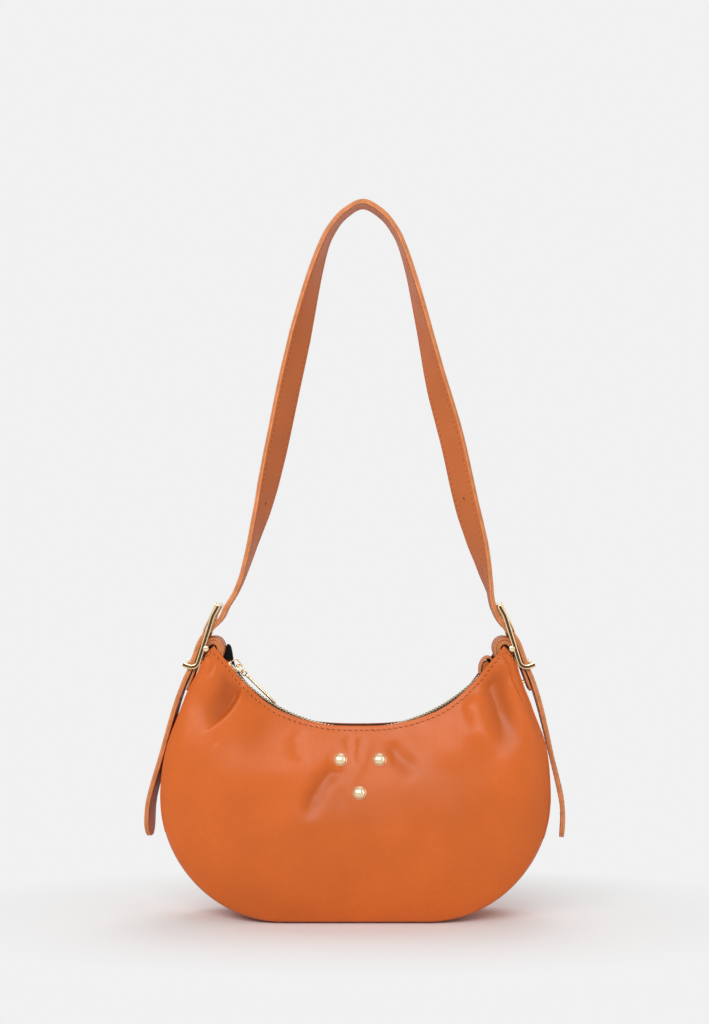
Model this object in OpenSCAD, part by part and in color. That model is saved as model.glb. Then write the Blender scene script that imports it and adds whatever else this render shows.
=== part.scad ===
// Crescent shoulder bag in smooth leather: two crowned panels and a gusset round a
// curved zip, a fabric lining with a slip pocket, two roller-free buckles on leather
// chapes, and one two-layer strap whose punched ends thread the buckles and hang free.
// X runs across the bag, Y from front to back, Z up. The base rests on Z = 0.

/* [Body] */
// Width across the front seam at the widest level
body_w = 282; // [250:1:320]
// Radius of the two lower corners, which also sets the widest level
corner_r = 90; // [80:1:100]
// Radius of the side above the widest level
side_r = 175; // [165:1:200]
// Level where the gusset ends at each horn
horn_h = 190; // [182:1:194]
// Depth of the gusset at the base
base_d = 50; // [44:1:60]
// Depth of the gusset at the horns
horn_d = 26; // [26:0.5:30]
// How far each panel swells past its seams
crown = 15; // [8:1:20]
// How far the horns and the strap hang to one side
lean = 2.5; // [0:0.5:4]
// Thickness of the body leather
leather_t = 1.4; // [1:0.1:1.8]
// Thickness of the lining fabric
lining_t = 0.6; // [0.4:0.1:0.8]
// Clearance between layers that lie on each other
layer_gap = 0.2; // [0.1:0.05:0.3]

/* [Mouth and zip] */
// How far each peak of the mouth edge rises above the gusset's end
peak_up = 8.6; // [8:0.1:9.5]
// How far each peak sits in from the gusset's end
peak_in = 7.6; // [7:0.1:8.5]
// Half angle of the mouth edge, from straight down
mouth_half_angle = 59.8; // [57:0.1:61]
// How far the leather edge dips on each slope
mouth_dip = 5; // [0:0.5:6]
// Half of the gap between the leather edges
mouth_half = 11; // [10.5:0.1:11.5]
// Radius of the zip above the leather edge's own radius
zip_drop = 3.5; // [3:0.1:4]
// Half angle of the row of teeth
zip_half_angle = 48; // [44:1:49]
// Spacing of the teeth
tooth_pitch = 2.6; // [2.4:0.1:3]
// Length of a tooth along the row
tooth_l = 1.3; // [1:0.1:1.5]
// Height of a tooth
tooth_h = 2.4; // [2:0.1:2.8]
// Width of a tooth, from the slit to the tape
tooth_w = 2.3; // [2:0.1:2.5]
// Slit between the two rows
zip_slit = 1.2; // [1:0.1:1.4]
// Thickness of the zip tape
tape_t = 0.5; // [0.3:0.1:0.6]
// Depth of the tape's sewn skirt
skirt_h = 6; // [4:0.5:7]
// Length of the slider
slider_l = 11; // [9:0.5:12]
// Width of the slider
slider_w = 9; // [8:0.5:10]
// Thickness of the slider's plates
slider_plate_t = 1; // [0.8:0.1:1.2]
// Angle of the slider's middle from straight down, at the closed end
slider_angle = 51; // [49:0.5:52]
// Thickness of the wire of the pull ring
ring_wire = 1.3; // [1:0.1:1.5]
// Mean radius of the pull ring
ring_r = 3.4; // [3.2:0.1:4]
// Length of the pull bar
bar_l = 33; // [26:1:34]
// Diameter of the pull bar
bar_d = 2.2; // [1.8:0.1:2.4]

/* [Strap and buckles] */
// Width of the strap
strap_w = 25; // [22:0.5:25]
// Thickness of each of the strap's two layers
strap_layer_t = 1.6; // [1.3:0.1:1.7]
// Height of the strap's apex above the base
apex_h = 524; // [480:1:560]
// Greatest twist of the strap along each run
strap_twist = 36; // [0:1:40]
// How far the upper strap hangs to one side, past the lean
strap_drift = 3; // [0:0.5:4]
// Diameter of the strap's adjusting holes
hole_d = 3; // [2.5:0.1:3.5]
// Spacing of the adjusting holes
hole_pitch = 54; // [45:1:60]
// How far each buckle's centre bar stands out from the gusset's end
bar_beside = 1.4; // [1:0.1:2]
// How far each centre bar stands above the gusset's end
bar_above = 6.8; // [6:0.1:7.5]
// Diameter of the centre bar
centre_bar_d = 3.5; // [3:0.1:3.6]
// Reach of the buckle above its centre bar
buckle_up = 31; // [30:0.5:33]
// Reach of the buckle below its centre bar
buckle_down = 16; // [15.5:0.1:16.5]
// Diameter of the buckle's top bar
top_bar_d = 4; // [3.5:0.1:4.2]
// Diameter of the buckle's lower keeper bar
keeper_d = 3.8; // [3.4:0.1:3.9]
// Width of each buckle rail, across the strap
rail_w = 3; // [2.5:0.1:3.4]
// Thickness of each buckle rail, out from the bag
rail_t = 3.4; // [3:0.1:3.6]
// Length of the free tail, along its middle line
tail_l = 127; // [100:1:130]
// Width of the chape
chape_w = 24; // [20:0.5:24]
// Thickness of the chape
chape_t = 1.8; // [1.4:0.1:2]
// Length of the chape's outer leg
chape_leg = 34; // [30:0.5:36]
// Diameter of the rivet heads
rivet_d = 7; // [5:0.5:8]

/* [Studs] */
// Diameter of a stud
stud_d = 9.2; // [7:0.1:11]
// Height of a stud's dome
stud_h = 3; // [2:0.1:4]

/* [Hidden] */

LEFT = -1;
RIGHT = 1;
round_fn = 48;

// Colours as the photograph shows them
leather_colour = [0.84, 0.42, 0.18];
strap_colour = [0.72, 0.40, 0.24];
lining_colour = [0.09, 0.08, 0.08];
metal_colour = [0.87, 0.73, 0.50];

// Rows and columns of the sheets
panel_cols = 40;
panel_rows = 9;
lining_cols = 30;
lining_rows = 6;
pocket_cols = 16;
pocket_rows = 6;
outline_steps = 96;

overrun = 1;

function lerp(a, b, t) = a + (b - a) * t;
function ramp(x) = let (t = min(1, max(0, x))) t * t * (3 - 2 * t);
function unit(v) = v / norm(v);

// Outline of the gusset, walked from the middle of the base to a horn
flat_half = body_w / 2 - corner_r;
corner_len = corner_r * PI / 2;
side_angle = asin((horn_h - corner_r) / side_r);
side_len = side_r * side_angle * PI / 180;
outline_len = flat_half + corner_len + side_len;
side_x = body_w / 2 - side_r;
horn_x = side_x + side_r * cos(side_angle);

function lean_at(z) = lean * ramp((z - corner_r) / (horn_h - corner_r));
function half_outline(d) =
    d < flat_half ? [[d, 0], [0, -1]]
    : d < flat_half + corner_len ?
        let (a = (d - flat_half) / corner_r * 180 / PI)
        [[flat_half + corner_r * sin(a), corner_r - corner_r * cos(a)], [sin(a), -cos(a)]]
    : let (a = (d - flat_half - corner_len) / side_r * 180 / PI)
        [[side_x + side_r * cos(a), corner_r + side_r * sin(a)], [cos(a), sin(a)]];
// A point of the outline, set in from the gusset's outer face; s runs from -1 to 1
function edge_point(s, inset) =
    let (h = half_outline(abs(s) * outline_len), p = h[0] - h[1] * inset, side = s < 0 ? -1 : 1)
    [side * p[0] + lean_at(p[1]), p[1]];

// The mouth edge, an arc that dips on both slopes
mouth_r = (horn_x - peak_in) / sin(mouth_half_angle);
mouth_z = horn_h + peak_up + mouth_r * cos(mouth_half_angle);
function mouth_edge_r(s, drop) = mouth_r + drop + mouth_dip * pow(sin(180 * abs(s)), 2);
function mouth_point(s, drop) =
    let (a = s * mouth_half_angle, r = mouth_edge_r(s, drop))
    [lean + r * sin(a), mouth_z - r * cos(a)];

function seam_half(z) = lerp(base_d, horn_d, z / horn_h) / 2;
horn_flare = horn_d / 2 - mouth_half;
flare_share = 0.8;
function mouth_gap(s) = mouth_half + horn_flare * ramp((abs(s) - flare_share) / (1 - flare_share));

// Swelling of a panel, full over the belly and slight at the horns
horn_puff_share = 0.2;
belly_share = 0.5;
belly_low = 0.8;
function puff(s, t) = crown * sin(180 * pow(t, belly_low))
    * lerp(1, horn_puff_share, ramp((abs(s) - belly_share) / (1 - belly_share)));

// A point of a sheet: inset from the outline, drop below the mouth edge, y_in behind the panel's face
function sheet_point(s, t, inset, drop, y_in) =
    let (o = edge_point(s, inset), m = mouth_point(s, drop),
        y = lerp(seam_half(o[1]), mouth_gap(s), t) + puff(s, t) + leather_t - y_in)
    [lerp(o[0], m[0], t), -y, lerp(o[1], m[1], t)];

function sheet_grid(s0, s1, t0, t1, cols, rows, inset, drop, y_in) =
    [for (i = [0:cols]) for (j = [0:rows])
        sheet_point(lerp(s0, s1, i / cols), lerp(t0, t1, j / rows), inset, drop, y_in)];

// A closed sheet between two grids of points
module slab(near, far, cols, rows) {
    n = (cols + 1) * (rows + 1);
    function id(i, j) = i * (rows + 1) + j;
    near_faces = [for (i = [0:cols - 1]) for (j = [0:rows - 1])
        each [[id(i, j), id(i, j + 1), id(i + 1, j + 1)], [id(i, j), id(i + 1, j + 1), id(i + 1, j)]]];
    far_faces = [for (f = near_faces) [n + f[2], n + f[1], n + f[0]]];
    rim = concat(
        [for (i = [0:cols - 1]) [id(i, 0), id(i + 1, 0)]],
        [for (j = [0:rows - 1]) [id(cols, j), id(cols, j + 1)]],
        [for (i = [cols:-1:1]) [id(i, rows), id(i - 1, rows)]],
        [for (j = [rows:-1:1]) [id(0, j), id(0, j - 1)]]);
    rim_faces = [for (e = rim) each [[e[0], e[1], n + e[1]], [e[0], n + e[1], n + e[0]]]];
    polyhedron(points = concat(near, far), faces = concat(near_faces, far_faces, rim_faces));
}

module leather_sheet() {
    slab(sheet_grid(-1, 1, 0, 1, panel_cols, panel_rows, 0, 0, -layer_gap),
        sheet_grid(-1, 1, 0, 1, panel_cols, panel_rows, 0, 0, leather_t - layer_gap),
        panel_cols, panel_rows);
}

// The lining hangs inside the panels, below the tape's skirt
lining_inset = leather_t + 2 * layer_gap + lining_t;
lining_y = leather_t + layer_gap;
skirt_gap = 1;
lining_drop = zip_drop + skirt_h + skirt_gap;
lining_share = 0.93;
module lining_sheet() {
    slab(sheet_grid(-lining_share, lining_share, 0, 1, lining_cols, lining_rows,
            lining_inset, lining_drop, lining_y),
        sheet_grid(-lining_share, lining_share, 0, 1, lining_cols, lining_rows,
            lining_inset, lining_drop, lining_y + lining_t),
        lining_cols, lining_rows);
}

// Where the studs sit on the front panel, as shares of its width and height
stud_shares = [[-0.085, 0.837], [0.1005, 0.837], [0.0067, 0.675]];
stud_base_t = 0.8;
stud_post_d = 2.4;
stud_back_d = 6;
stud_back_t = 0.8;
module at_stud(place) {
    step = 0.01;
    p = sheet_point(place[0], place[1], 0, 0, -layer_gap);
    a = sheet_point(place[0] + step, place[1], 0, 0, -layer_gap) - p;
    b = sheet_point(place[0], place[1] + step, 0, 0, -layer_gap) - p;
    n = unit(cross(a, b));
    translate(p) rotate([0, acos(n[2]), atan2(n[1], n[0])]) children();
}
module stud_cuts(d) {
    for (place = stud_shares)
        at_stud(place) cylinder(h = 4 * leather_t, d = d, center = true, $fn = round_fn);
}

module front_panel() {
    color(leather_colour) difference() {
        leather_sheet();
        stud_cuts(stud_post_d + 2 * layer_gap);
    }
}
module back_panel() {
    color(leather_colour) mirror([0, 1, 0]) leather_sheet();
}

// A strip along the outline, tapered in depth from the base to the horns
module outline_band(near, far, s_end, depth_loss) {
    steps = outline_steps;
    outer = [for (i = [0:steps]) edge_point(lerp(-s_end, s_end, i / steps), near)];
    inner = [for (i = [steps:-1:0]) edge_point(lerp(-s_end, s_end, i / steps), far)];
    reach = body_w;
    low = base_d / 2 - depth_loss;
    high = horn_d / 2 - depth_loss;
    slope = (low - high) / horn_h;
    intersection() {
        rotate([90, 0, 0]) linear_extrude(height = 2 * base_d, center = true)
            polygon(concat(outer, inner));
        rotate([90, 0, 90]) linear_extrude(height = 2 * reach, center = true)
            polygon([[-low - slope * overrun, -overrun], [low + slope * overrun, -overrun],
                [high - slope * overrun, horn_h + overrun], [-high + slope * overrun, horn_h + overrun]]);
    }
}

module gusset() {
    color(leather_colour) difference() {
        outline_band(0, leather_t, 1, 0);
        rivet_bores();
    }
}
module lining_gusset() {
    color(lining_colour) difference() {
        outline_band(leather_t + layer_gap, leather_t + layer_gap + lining_t, lining_share, lining_inset);
        rivet_bores();
    }
}
module lining_front() { color(lining_colour) lining_sheet(); }
module lining_back() { color(lining_colour) mirror([0, 1, 0]) lining_sheet(); }

// A flat slip pocket, sewn to the back lining on three sides
pocket_half_share = 0.26;
pocket_low_share = 0.3;
pocket_high_share = 0.78;
module inner_pocket() {
    y_in = lining_y + lining_t + 2 * layer_gap;
    s = pocket_half_share;
    color(lining_colour) mirror([0, 1, 0])
        slab(sheet_grid(-s, s, pocket_low_share, pocket_high_share, pocket_cols, pocket_rows,
                lining_inset, lining_drop, y_in),
            sheet_grid(-s, s, pocket_low_share, pocket_high_share, pocket_cols, pocket_rows,
                lining_inset, lining_drop, y_in + lining_t),
            pocket_cols, pocket_rows);
}

// The zip follows one arc below the mouth edge
zip_r = mouth_r + zip_drop;
tape_end_angle = 5;
tape_half_angle = zip_half_angle + tape_end_angle;
// Places children, drawn as (radius, across) in a profile, along the arc between two angles
module on_arc(from, to) {
    translate([lean, 0, mouth_z]) rotate([90, 0, 0]) rotate([0, 0, from - 90])
        rotate_extrude(angle = to - from, $fn = 4 * round_fn) children();
}
// Places children at one angle of the arc: x out from its centre, y along it, z towards the front
module at_arc(angle) {
    translate([lean, 0, mouth_z]) rotate([90, 0, 0]) rotate([0, 0, angle - 90]) children();
}

tape_in = zip_slit / 2 + tooth_w + layer_gap / 2;
tape_out = mouth_half - layer_gap;
module zip_tape() {
    on_arc(-tape_half_angle, tape_half_angle) polygon([
        [zip_r - tape_t / 2, tape_in], [zip_r - tape_t / 2, tape_out],
        [zip_r + skirt_h, tape_out], [zip_r + skirt_h, tape_out - tape_t],
        [zip_r + tape_t / 2, tape_out - tape_t], [zip_r + tape_t / 2, tape_in]]);
}
module zip_tape_front() { color(lining_colour) zip_tape(); }
module zip_tape_back() { color(lining_colour) mirror([0, 1, 0]) zip_tape(); }

// Teeth stand in two rows, half a pitch apart, either side of the slit
pitch_angle = tooth_pitch / zip_r * 180 / PI;
teeth_count = floor(2 * zip_half_angle / pitch_angle);
module tooth_row(shift) {
    for (i = [0:teeth_count - 1])
        at_arc(-zip_half_angle + (i + shift) * pitch_angle)
            translate([zip_r - tooth_h / 2, -tooth_l / 2, zip_slit / 2]) cube([tooth_h, tooth_l, tooth_w]);
}
module zip_teeth_front() { color(metal_colour) tooth_row(0); }
module zip_teeth_back() { color(metal_colour) mirror([0, 1, 0]) tooth_row(0.5); }

// Two small stops at the closed end and one box at the open end
stop_l = 3;
stop_angle = stop_l / zip_r * 180 / PI;
module zip_stops() {
    color(metal_colour) {
        for (side = [0, 1]) mirror([0, side, 0])
            at_arc(-zip_half_angle - 2 * stop_angle)
                translate([zip_r - tooth_h / 2, -stop_l / 2, zip_slit / 2]) cube([tooth_h, stop_l, tooth_w]);
        at_arc(zip_half_angle + stop_angle)
            translate([zip_r - tooth_h / 2, -stop_l / 2, -tape_in + layer_gap / 2])
                cube([tooth_h, stop_l, 2 * tape_in - layer_gap]);
    }
}

// A leather tab folded over the end of the tape
tab_t = 1.2;
tab_half_w = 6;
module zip_end_tab() {
    top_r = zip_r - tooth_h / 2 - layer_gap;
    low_r = zip_r + tooth_h / 2 + layer_gap;
    fold = tab_t / zip_r * 180 / PI;
    end = tape_half_angle + 2 * fold;
    color(strap_colour) {
        on_arc(zip_half_angle - stop_angle, end)
            translate([top_r - tab_t, -tab_half_w]) square([tab_t, 2 * tab_half_w]);
        on_arc(end - fold, end)
            translate([top_r - tab_t, -tab_half_w]) square([low_r - top_r + 2 * tab_t, 2 * tab_half_w]);
        on_arc(zip_half_angle + 2 * stop_angle, end)
            translate([low_r, -tab_half_w]) square([tab_t, 2 * tab_half_w]);
    }
}

// The slider: two plates round the teeth, a thin divider in the slit and a bridge for the ring
slider_gap = 0.3;
slider_top_r = zip_r - tooth_h / 2 - slider_gap;
slider_low_r = zip_r + tooth_h / 2 + slider_gap;
slider_half = slider_l / zip_r * 90 / PI;
bail_wire = 1.2;
bail_hole_h = 3.4;
bail_half_l = slider_l / 3;
ring_hole_r = slider_top_r - slider_plate_t - slider_gap - bail_hole_h + ring_wire / 2;
module zip_slider() {
    divider_w = zip_slit - 2 * slider_gap;
    divider_half = slider_half / 3;
    color(metal_colour) {
        on_arc(-slider_angle - slider_half, -slider_angle + slider_half) {
            translate([slider_top_r - slider_plate_t, -slider_w / 2]) square([slider_plate_t, slider_w]);
            translate([slider_low_r, -slider_w / 2]) square([slider_plate_t, slider_w]);
        }
        on_arc(-slider_angle - divider_half, -slider_angle + divider_half)
            translate([slider_top_r - slider_plate_t / 2, -divider_w / 2])
                square([slider_low_r - slider_top_r + slider_plate_t, divider_w]);
        at_arc(-slider_angle) slider_bail();
    }
}
// A lengthwise bail on the top plate, with a hole across the slider for the ring
module slider_bail() {
    foot = slider_top_r - slider_plate_t / 2;
    top = ring_hole_r - bail_hole_h / 2 - bail_wire;
    translate([0, 0, -bail_wire / 2]) linear_extrude(height = bail_wire) difference() {
        translate([top, -bail_half_l]) square([foot - top, 2 * bail_half_l]);
        translate([top + bail_wire, bail_wire - bail_half_l])
            square([bail_hole_h, 2 * (bail_half_l - bail_wire)]);
    }
}

// The pull: a ring through the bail and a bar that hangs in the ring
ring_roll = 35;
pull_hinge_y = bail_half_l - bail_wire - ring_wire / 2 - slider_gap;
bar_eye_r = 2.2;
bar_eye_wire = 1.2;
bar_lift = 13;
module on_ring() {
    at_arc(-slider_angle) translate([ring_hole_r, pull_hinge_y, 0]) rotate([0, ring_roll, 0]) children();
}
module pull_ring() {
    color(metal_colour) on_ring() translate([0, ring_r, 0]) rotate([0, 90, 0])
        rotate_extrude($fn = round_fn) translate([ring_r, 0]) circle(d = ring_wire, $fn = 24);
}
module pull_bar() {
    eye_y = bar_eye_r - bar_eye_wire / 2 - ring_wire / 2 - slider_gap / 2;
    bar_y = eye_y + bar_eye_r;
    color(metal_colour) on_ring() translate([0, 2 * ring_r, 0]) rotate([0, 0, bar_lift]) {
        translate([0, eye_y, 0])
            rotate_extrude($fn = round_fn) translate([bar_eye_r, 0]) circle(d = bar_eye_wire, $fn = 24);
        translate([0, bar_y, 0]) rotate([-90, 0, 0])
            cylinder(h = bar_l - bar_y - bar_d / 2, d = bar_d, $fn = round_fn);
        translate([0, bar_l - bar_d / 2, 0]) sphere(d = bar_d, $fn = 32);
    }
}

// Studs: domed caps with a post through the front panel, and washers behind
module stud_caps() {
    dome_r = (stud_d * stud_d / 4 + stud_h * stud_h) / (2 * stud_h);
    color(metal_colour) for (place = stud_shares) at_stud(place) translate([0, 0, layer_gap]) {
        cylinder(h = stud_base_t, d = stud_d, $fn = round_fn);
        translate([0, 0, stud_base_t]) intersection() {
            translate([0, 0, stud_h - dome_r]) sphere(r = dome_r, $fn = round_fn);
            cylinder(h = stud_h + overrun, d = stud_d, $fn = round_fn);
        }
        translate([0, 0, -leather_t - 3 * layer_gap])
            cylinder(h = leather_t + 4 * layer_gap, d = stud_post_d, $fn = round_fn);
    }
}
module stud_backs() {
    color(metal_colour) for (place = stud_shares) at_stud(place)
        translate([0, 0, -leather_t - 3 * layer_gap - stud_back_t])
            cylinder(h = stud_back_t, d = stud_back_d, $fn = round_fn);
}

// Buckle parts are drawn flat: x out from the bag, y up along the frame, and stand on a side
bar_x = horn_x + bar_beside;
bar_z = horn_h + bar_above;
tilt_share = 0.5;
buckle_tilt = side_angle * tilt_share;
module at_buckle(side) {
    translate([lean, 0, 0]) mirror([side < 0 ? 1 : 0, 0, 0])
        translate([bar_x, 0, bar_z]) rotate([0, -buckle_tilt, 0]) rotate([90, 0, 0]) children();
}

// A band of even thickness along a path, drawn flat
function path_normal(p, i) =
    let (a = p[max(0, i - 1)], b = p[min(len(p) - 1, i + 1)], d = unit(b - a)) [d[1], -d[0]];
module band(p, t) {
    polygon(concat([for (i = [0:len(p) - 1]) p[i] + path_normal(p, i) * t / 2],
        [for (i = [len(p) - 1:-1:0]) p[i] - path_normal(p, i) * t / 2]));
}

// Chape: a leather loop over the centre bar, with a leg outside the gusset and one in the mouth
chape_arch_rise = 8.3;
chape_arch_half = 7.4;
chape_inner_drop = 5;
chape_splay = 1.5;
chape_knee_share = 0.25;
chape_out = centre_bar_d / 2 + layer_gap + chape_t / 2;
chape_path = concat([[chape_out + chape_splay, -chape_leg], [chape_out, -chape_leg * chape_knee_share]],
    [for (a = [0:15:180]) [chape_out - chape_arch_half + chape_arch_half * cos(a), chape_arch_rise * sin(a)]],
    [[chape_out - 2 * chape_arch_half, -chape_inner_drop]]);
prong_w = 2.8;
prong_play = 1.2;
prong_slot_w = prong_w + prong_play;
module chape(side) {
    color(strap_colour) difference() {
        at_buckle(side) {
            linear_extrude(height = chape_w, center = true) band(chape_path, chape_t);
        }
        at_buckle(side) {
            translate([0, -centre_bar_d, -prong_slot_w / 2])
                cube([2 * chape_t + centre_bar_d, 3 * centre_bar_d, prong_slot_w]);
            rivet_bore();
        }
    }
}

// Rivets through the outer leg, the gusset and the lining
rivet_post_d = 2.6;
rivet_head_t = 0.6;
rivet_share = 0.8;
rivet_y = -rivet_share * chape_leg;
rivet_bore_l = 2 * rivet_d;
rivet_out = chape_out + chape_t / 2 + layer_gap
    + chape_splay * (rivet_share - chape_knee_share) / (1 - chape_knee_share);
// How far the gusset leans from the rivet's head, and how far out the axis meets a face this deep
rivet_lean = asin((bar_z + rivet_y * cos(buckle_tilt) - corner_r) / side_r) - buckle_tilt;
function rivet_reach(side, depth) =
    let (z = bar_z + rivet_y * cos(buckle_tilt),
        v = [bar_x - rivet_y * sin(buckle_tilt) - side_x - side * (lean_at(z) - lean), z - corner_r],
        b = v * [cos(buckle_tilt), sin(buckle_tilt)])
    sqrt(b * b - v * v + pow(side_r - depth, 2)) - b;
module rivet_bore() {
    translate([0, rivet_y, 0]) rotate([0, 90, 0])
        cylinder(h = rivet_bore_l, d = rivet_post_d + layer_gap, center = true, $fn = round_fn);
}
module rivet_bores() {
    for (side = [LEFT, RIGHT]) at_buckle(side) rivet_bore();
}
module chape_rivet(side) {
    inside = rivet_reach(side, leather_t + lining_t + 3 * layer_gap) - rivet_d / 2 * tan(rivet_lean);
    color(metal_colour) at_buckle(side) translate([0, rivet_y, 0]) rotate([0, 90, 0]) {
        translate([0, 0, inside - rivet_head_t / 2])
            cylinder(h = rivet_out - inside + rivet_head_t, d = rivet_post_d, $fn = round_fn);
        translate([0, 0, rivet_out]) cylinder(h = rivet_head_t, d = rivet_d, $fn = round_fn);
        translate([0, 0, inside - rivet_head_t]) cylinder(h = rivet_head_t, d = rivet_d, $fn = round_fn);
    }
}

// Buckle frame: two rails, a top bar, the centre bar and a keeper bar that stands out
rail_x = 2.3;
rail_gap = 1;
rail_y = strap_w / 2 + rail_gap + rail_w / 2;
knob_rim = 0.4;
top_x = 1;
keeper_x = 10.5;
bend_r = 5;
rail_path = concat([[top_x, buckle_up], [rail_x, buckle_up - 2 * rail_t]],
    [for (a = [180:15:270]) [rail_x + bend_r + bend_r * cos(a), -buckle_down + bend_r + bend_r * sin(a)]],
    [[keeper_x, -buckle_down]]);
module frame_bar(x, y, d) {
    translate([x, y, 0]) cylinder(h = 2 * rail_y, d = d, center = true, $fn = round_fn);
}
module buckle_frame(side) {
    knob_d = centre_bar_d + 2 * knob_rim;
    color(metal_colour) at_buckle(side) {
        for (z = [-rail_y, rail_y]) {
            translate([0, 0, z]) linear_extrude(height = rail_w, center = true) band(rail_path, rail_t);
            translate([0, 0, z]) cylinder(h = rail_w, d = knob_d, center = true, $fn = round_fn);
            translate([top_x, buckle_up, z])
                cylinder(h = rail_w, d = top_bar_d, center = true, $fn = round_fn);
            translate([keeper_x, -buckle_down, z])
                cylinder(h = rail_w, d = keeper_d, center = true, $fn = round_fn);
        }
        frame_bar(0, 0, centre_bar_d);
        frame_bar(top_x, buckle_up, top_bar_d);
        frame_bar(keeper_x, -buckle_down, keeper_d);
    }
}

// Prong: an eye on the centre bar and an arched tongue that rests on the top bar
prong_t = 2.2;
prong_gap = 0.25;
prong_eye_t = 1.5;
prong_rise = 7.8;
prong_rest_x = top_x + top_bar_d / 2 + prong_t / 2 + prong_gap;
// Middle line of the tongue, as shares of its rise and of the buckle's reach
prong_shares = [[0.31, 0.04], [0.46, 0.13], [0.72, 0.24], [0.92, 0.355], [1, 0.485],
    [0.92, 0.68], [0.72, 0.87]];
prong_path = concat([for (p = prong_shares) [prong_rise * p[0], buckle_up * p[1]]],
    [[prong_rest_x, buckle_up], [prong_rest_x - prong_gap, buckle_up + prong_t]]);
module buckle_prong(side) {
    eye_out = centre_bar_d / 2 + prong_gap + prong_eye_t;
    color(metal_colour) at_buckle(side) {
        linear_extrude(height = prong_w, center = true) band(prong_path, prong_t);
        difference() {
            cylinder(h = prong_w, r = eye_out, center = true, $fn = round_fn);
            cylinder(h = 2 * prong_w, r = centre_bar_d / 2 + prong_gap, center = true, $fn = round_fn);
        }
    }
}

// Strap: two layers sewn together, threaded through each buckle
strap_t = 2 * strap_layer_t + layer_gap;
strap_gap = 0.3;
chape_clearance = 0.85;
strap_out_x = chape_out + chape_t / 2 + strap_t / 2 + chape_clearance;
strap_in_x = top_x - top_bar_d / 2 - strap_t / 2 - strap_gap;
tail_hinge = [keeper_x - keeper_d / 2 - strap_t / 2 + layer_gap,
    -buckle_down - keeper_d / 2 - strap_t / 2 - 2 * layer_gap];
thread_end = tail_hinge[1] + strap_t / 2 + strap_gap;
// The threaded stretch crosses from inside the top bar to outside the chape
thread_shares = [[1, 0], [0.88, 0.19], [0.6, 0.39], [0.28, 0.58], [0.09, 0.77], [0, 1]];
thread_path = concat(
    [for (t = [1:-0.25:0.25]) [lerp(strap_out_x, tail_hinge[0] - layer_gap, t), thread_end * t]],
    [for (p = thread_shares) [lerp(strap_in_x, strap_out_x, p[0]), buckle_up * p[1]]]);
strap_slot_low = 0.5;
strap_slot_high = 13.5;
module strap_end(side) {
    color(strap_colour) at_buckle(side) difference() {
        linear_extrude(height = strap_w, center = true) band(thread_path, strap_t);
        translate([-strap_w, strap_slot_low, -prong_slot_w / 2])
            cube([2 * strap_w, strap_slot_high - strap_slot_low, prong_slot_w]);
    }
}

// The free tail hangs from the keeper bar; its top is rounded about its own hinge
tail_swing = atan2(lean, tail_l);
tail_bow = 2;
// The tail bows out and then hangs in, as shares of its bow and of its length
tail_shares = [[0, 0], [0.5, 0.05], [0.9, 0.22], [1, 0.45], [0.7, 0.65], [-0.1, 0.8], [-1.7, 0.9], [-4.1, 1]];
module strap_tail(side) {
    path = [for (p = tail_shares) [tail_hinge[0] + tail_bow * p[0], tail_hinge[1] - tail_l * p[1]]];
    turn = -side * tail_swing;
    color(strap_colour) at_buckle(side)
        translate([tail_hinge[0], tail_hinge[1], 0]) rotate([0, 0, turn])
            translate([-tail_hinge[0], -tail_hinge[1], 0]) {
                linear_extrude(height = strap_w, center = true) band(path, strap_t);
                translate([tail_hinge[0], tail_hinge[1], 0])
                    cylinder(h = strap_w, d = strap_t, center = true, $fn = round_fn);
            }
}

// The arch: half of its middle line, as shares of its half span and its height
arch_shares = [[1, 0], [0.957, 0.038], [0.915, 0.087], [0.851, 0.161], [0.787, 0.238], [0.681, 0.395],
    [0.569, 0.549], [0.463, 0.703], [0.378, 0.818], [0.305, 0.895], [0.245, 0.935], [0.149, 0.974], [0, 1]];
bend_rise = 5;
bend_in = 4.7;
strap_hinge_z = bar_z + (buckle_up + bend_rise) * cos(buckle_tilt);
arch_start_z = strap_hinge_z + bend_rise;
arch_half_span = bar_x - (buckle_up + 2 * bend_rise) * sin(buckle_tilt) - bend_in;
arch_top = apex_h - strap_t / 2;
function arch_half(i) = [arch_half_span * arch_shares[i][0],
    lerp(arch_start_z, arch_top, arch_shares[i][1])];
arch_n = len(arch_shares);
function arch_knot(k) = k < arch_n ? arch_half(k)
    : let (p = arch_half(2 * arch_n - 2 - k)) [-p[0], p[1]];
function drift_at(z) = lean + strap_drift * ramp((z - bar_z) / (arch_start_z - bar_z + buckle_up));
function arch_flat(x) =
    let (last = 2 * arch_n - 2, i = min(last - 1, floor(x)), t = x - i,
        a = arch_knot(max(0, i - 1)), b = arch_knot(i), c = arch_knot(i + 1), d = arch_knot(min(last, i + 2)))
    (2 * b + (c - a) * t + (2 * a - 5 * b + 4 * c - d) * t * t + (3 * b - a - 3 * c + d) * t * t * t) / 2;
function arch_mid(x) = let (p = arch_flat(x)) [p[0] + drift_at(p[1]), 0, p[1]];
arch_step = 0.5;
knot_nudge = 0.1;
twist_low = 0.62;
twist_round = 1.2;
// Frame of the strap at x: middle, direction across the strap, direction towards the arch's inside
function arch_frame(x) =
    let (last = 2 * arch_n - 2,
        d = unit(arch_mid(min(last, x + knot_nudge)) - arch_mid(max(0, x - knot_nudge))),
        inward = [-d[2], 0, d[0]], share = (arch_mid(x)[2] - arch_start_z) / (arch_top - arch_start_z),
        twist = strap_twist * pow(sin(180 * pow(max(0, share), twist_low)), twist_round))
    [arch_mid(x), [inward[0] * sin(twist), cos(twist), inward[2] * sin(twist)],
        [inward[0] * cos(twist), -sin(twist), inward[2] * cos(twist)]];
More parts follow.
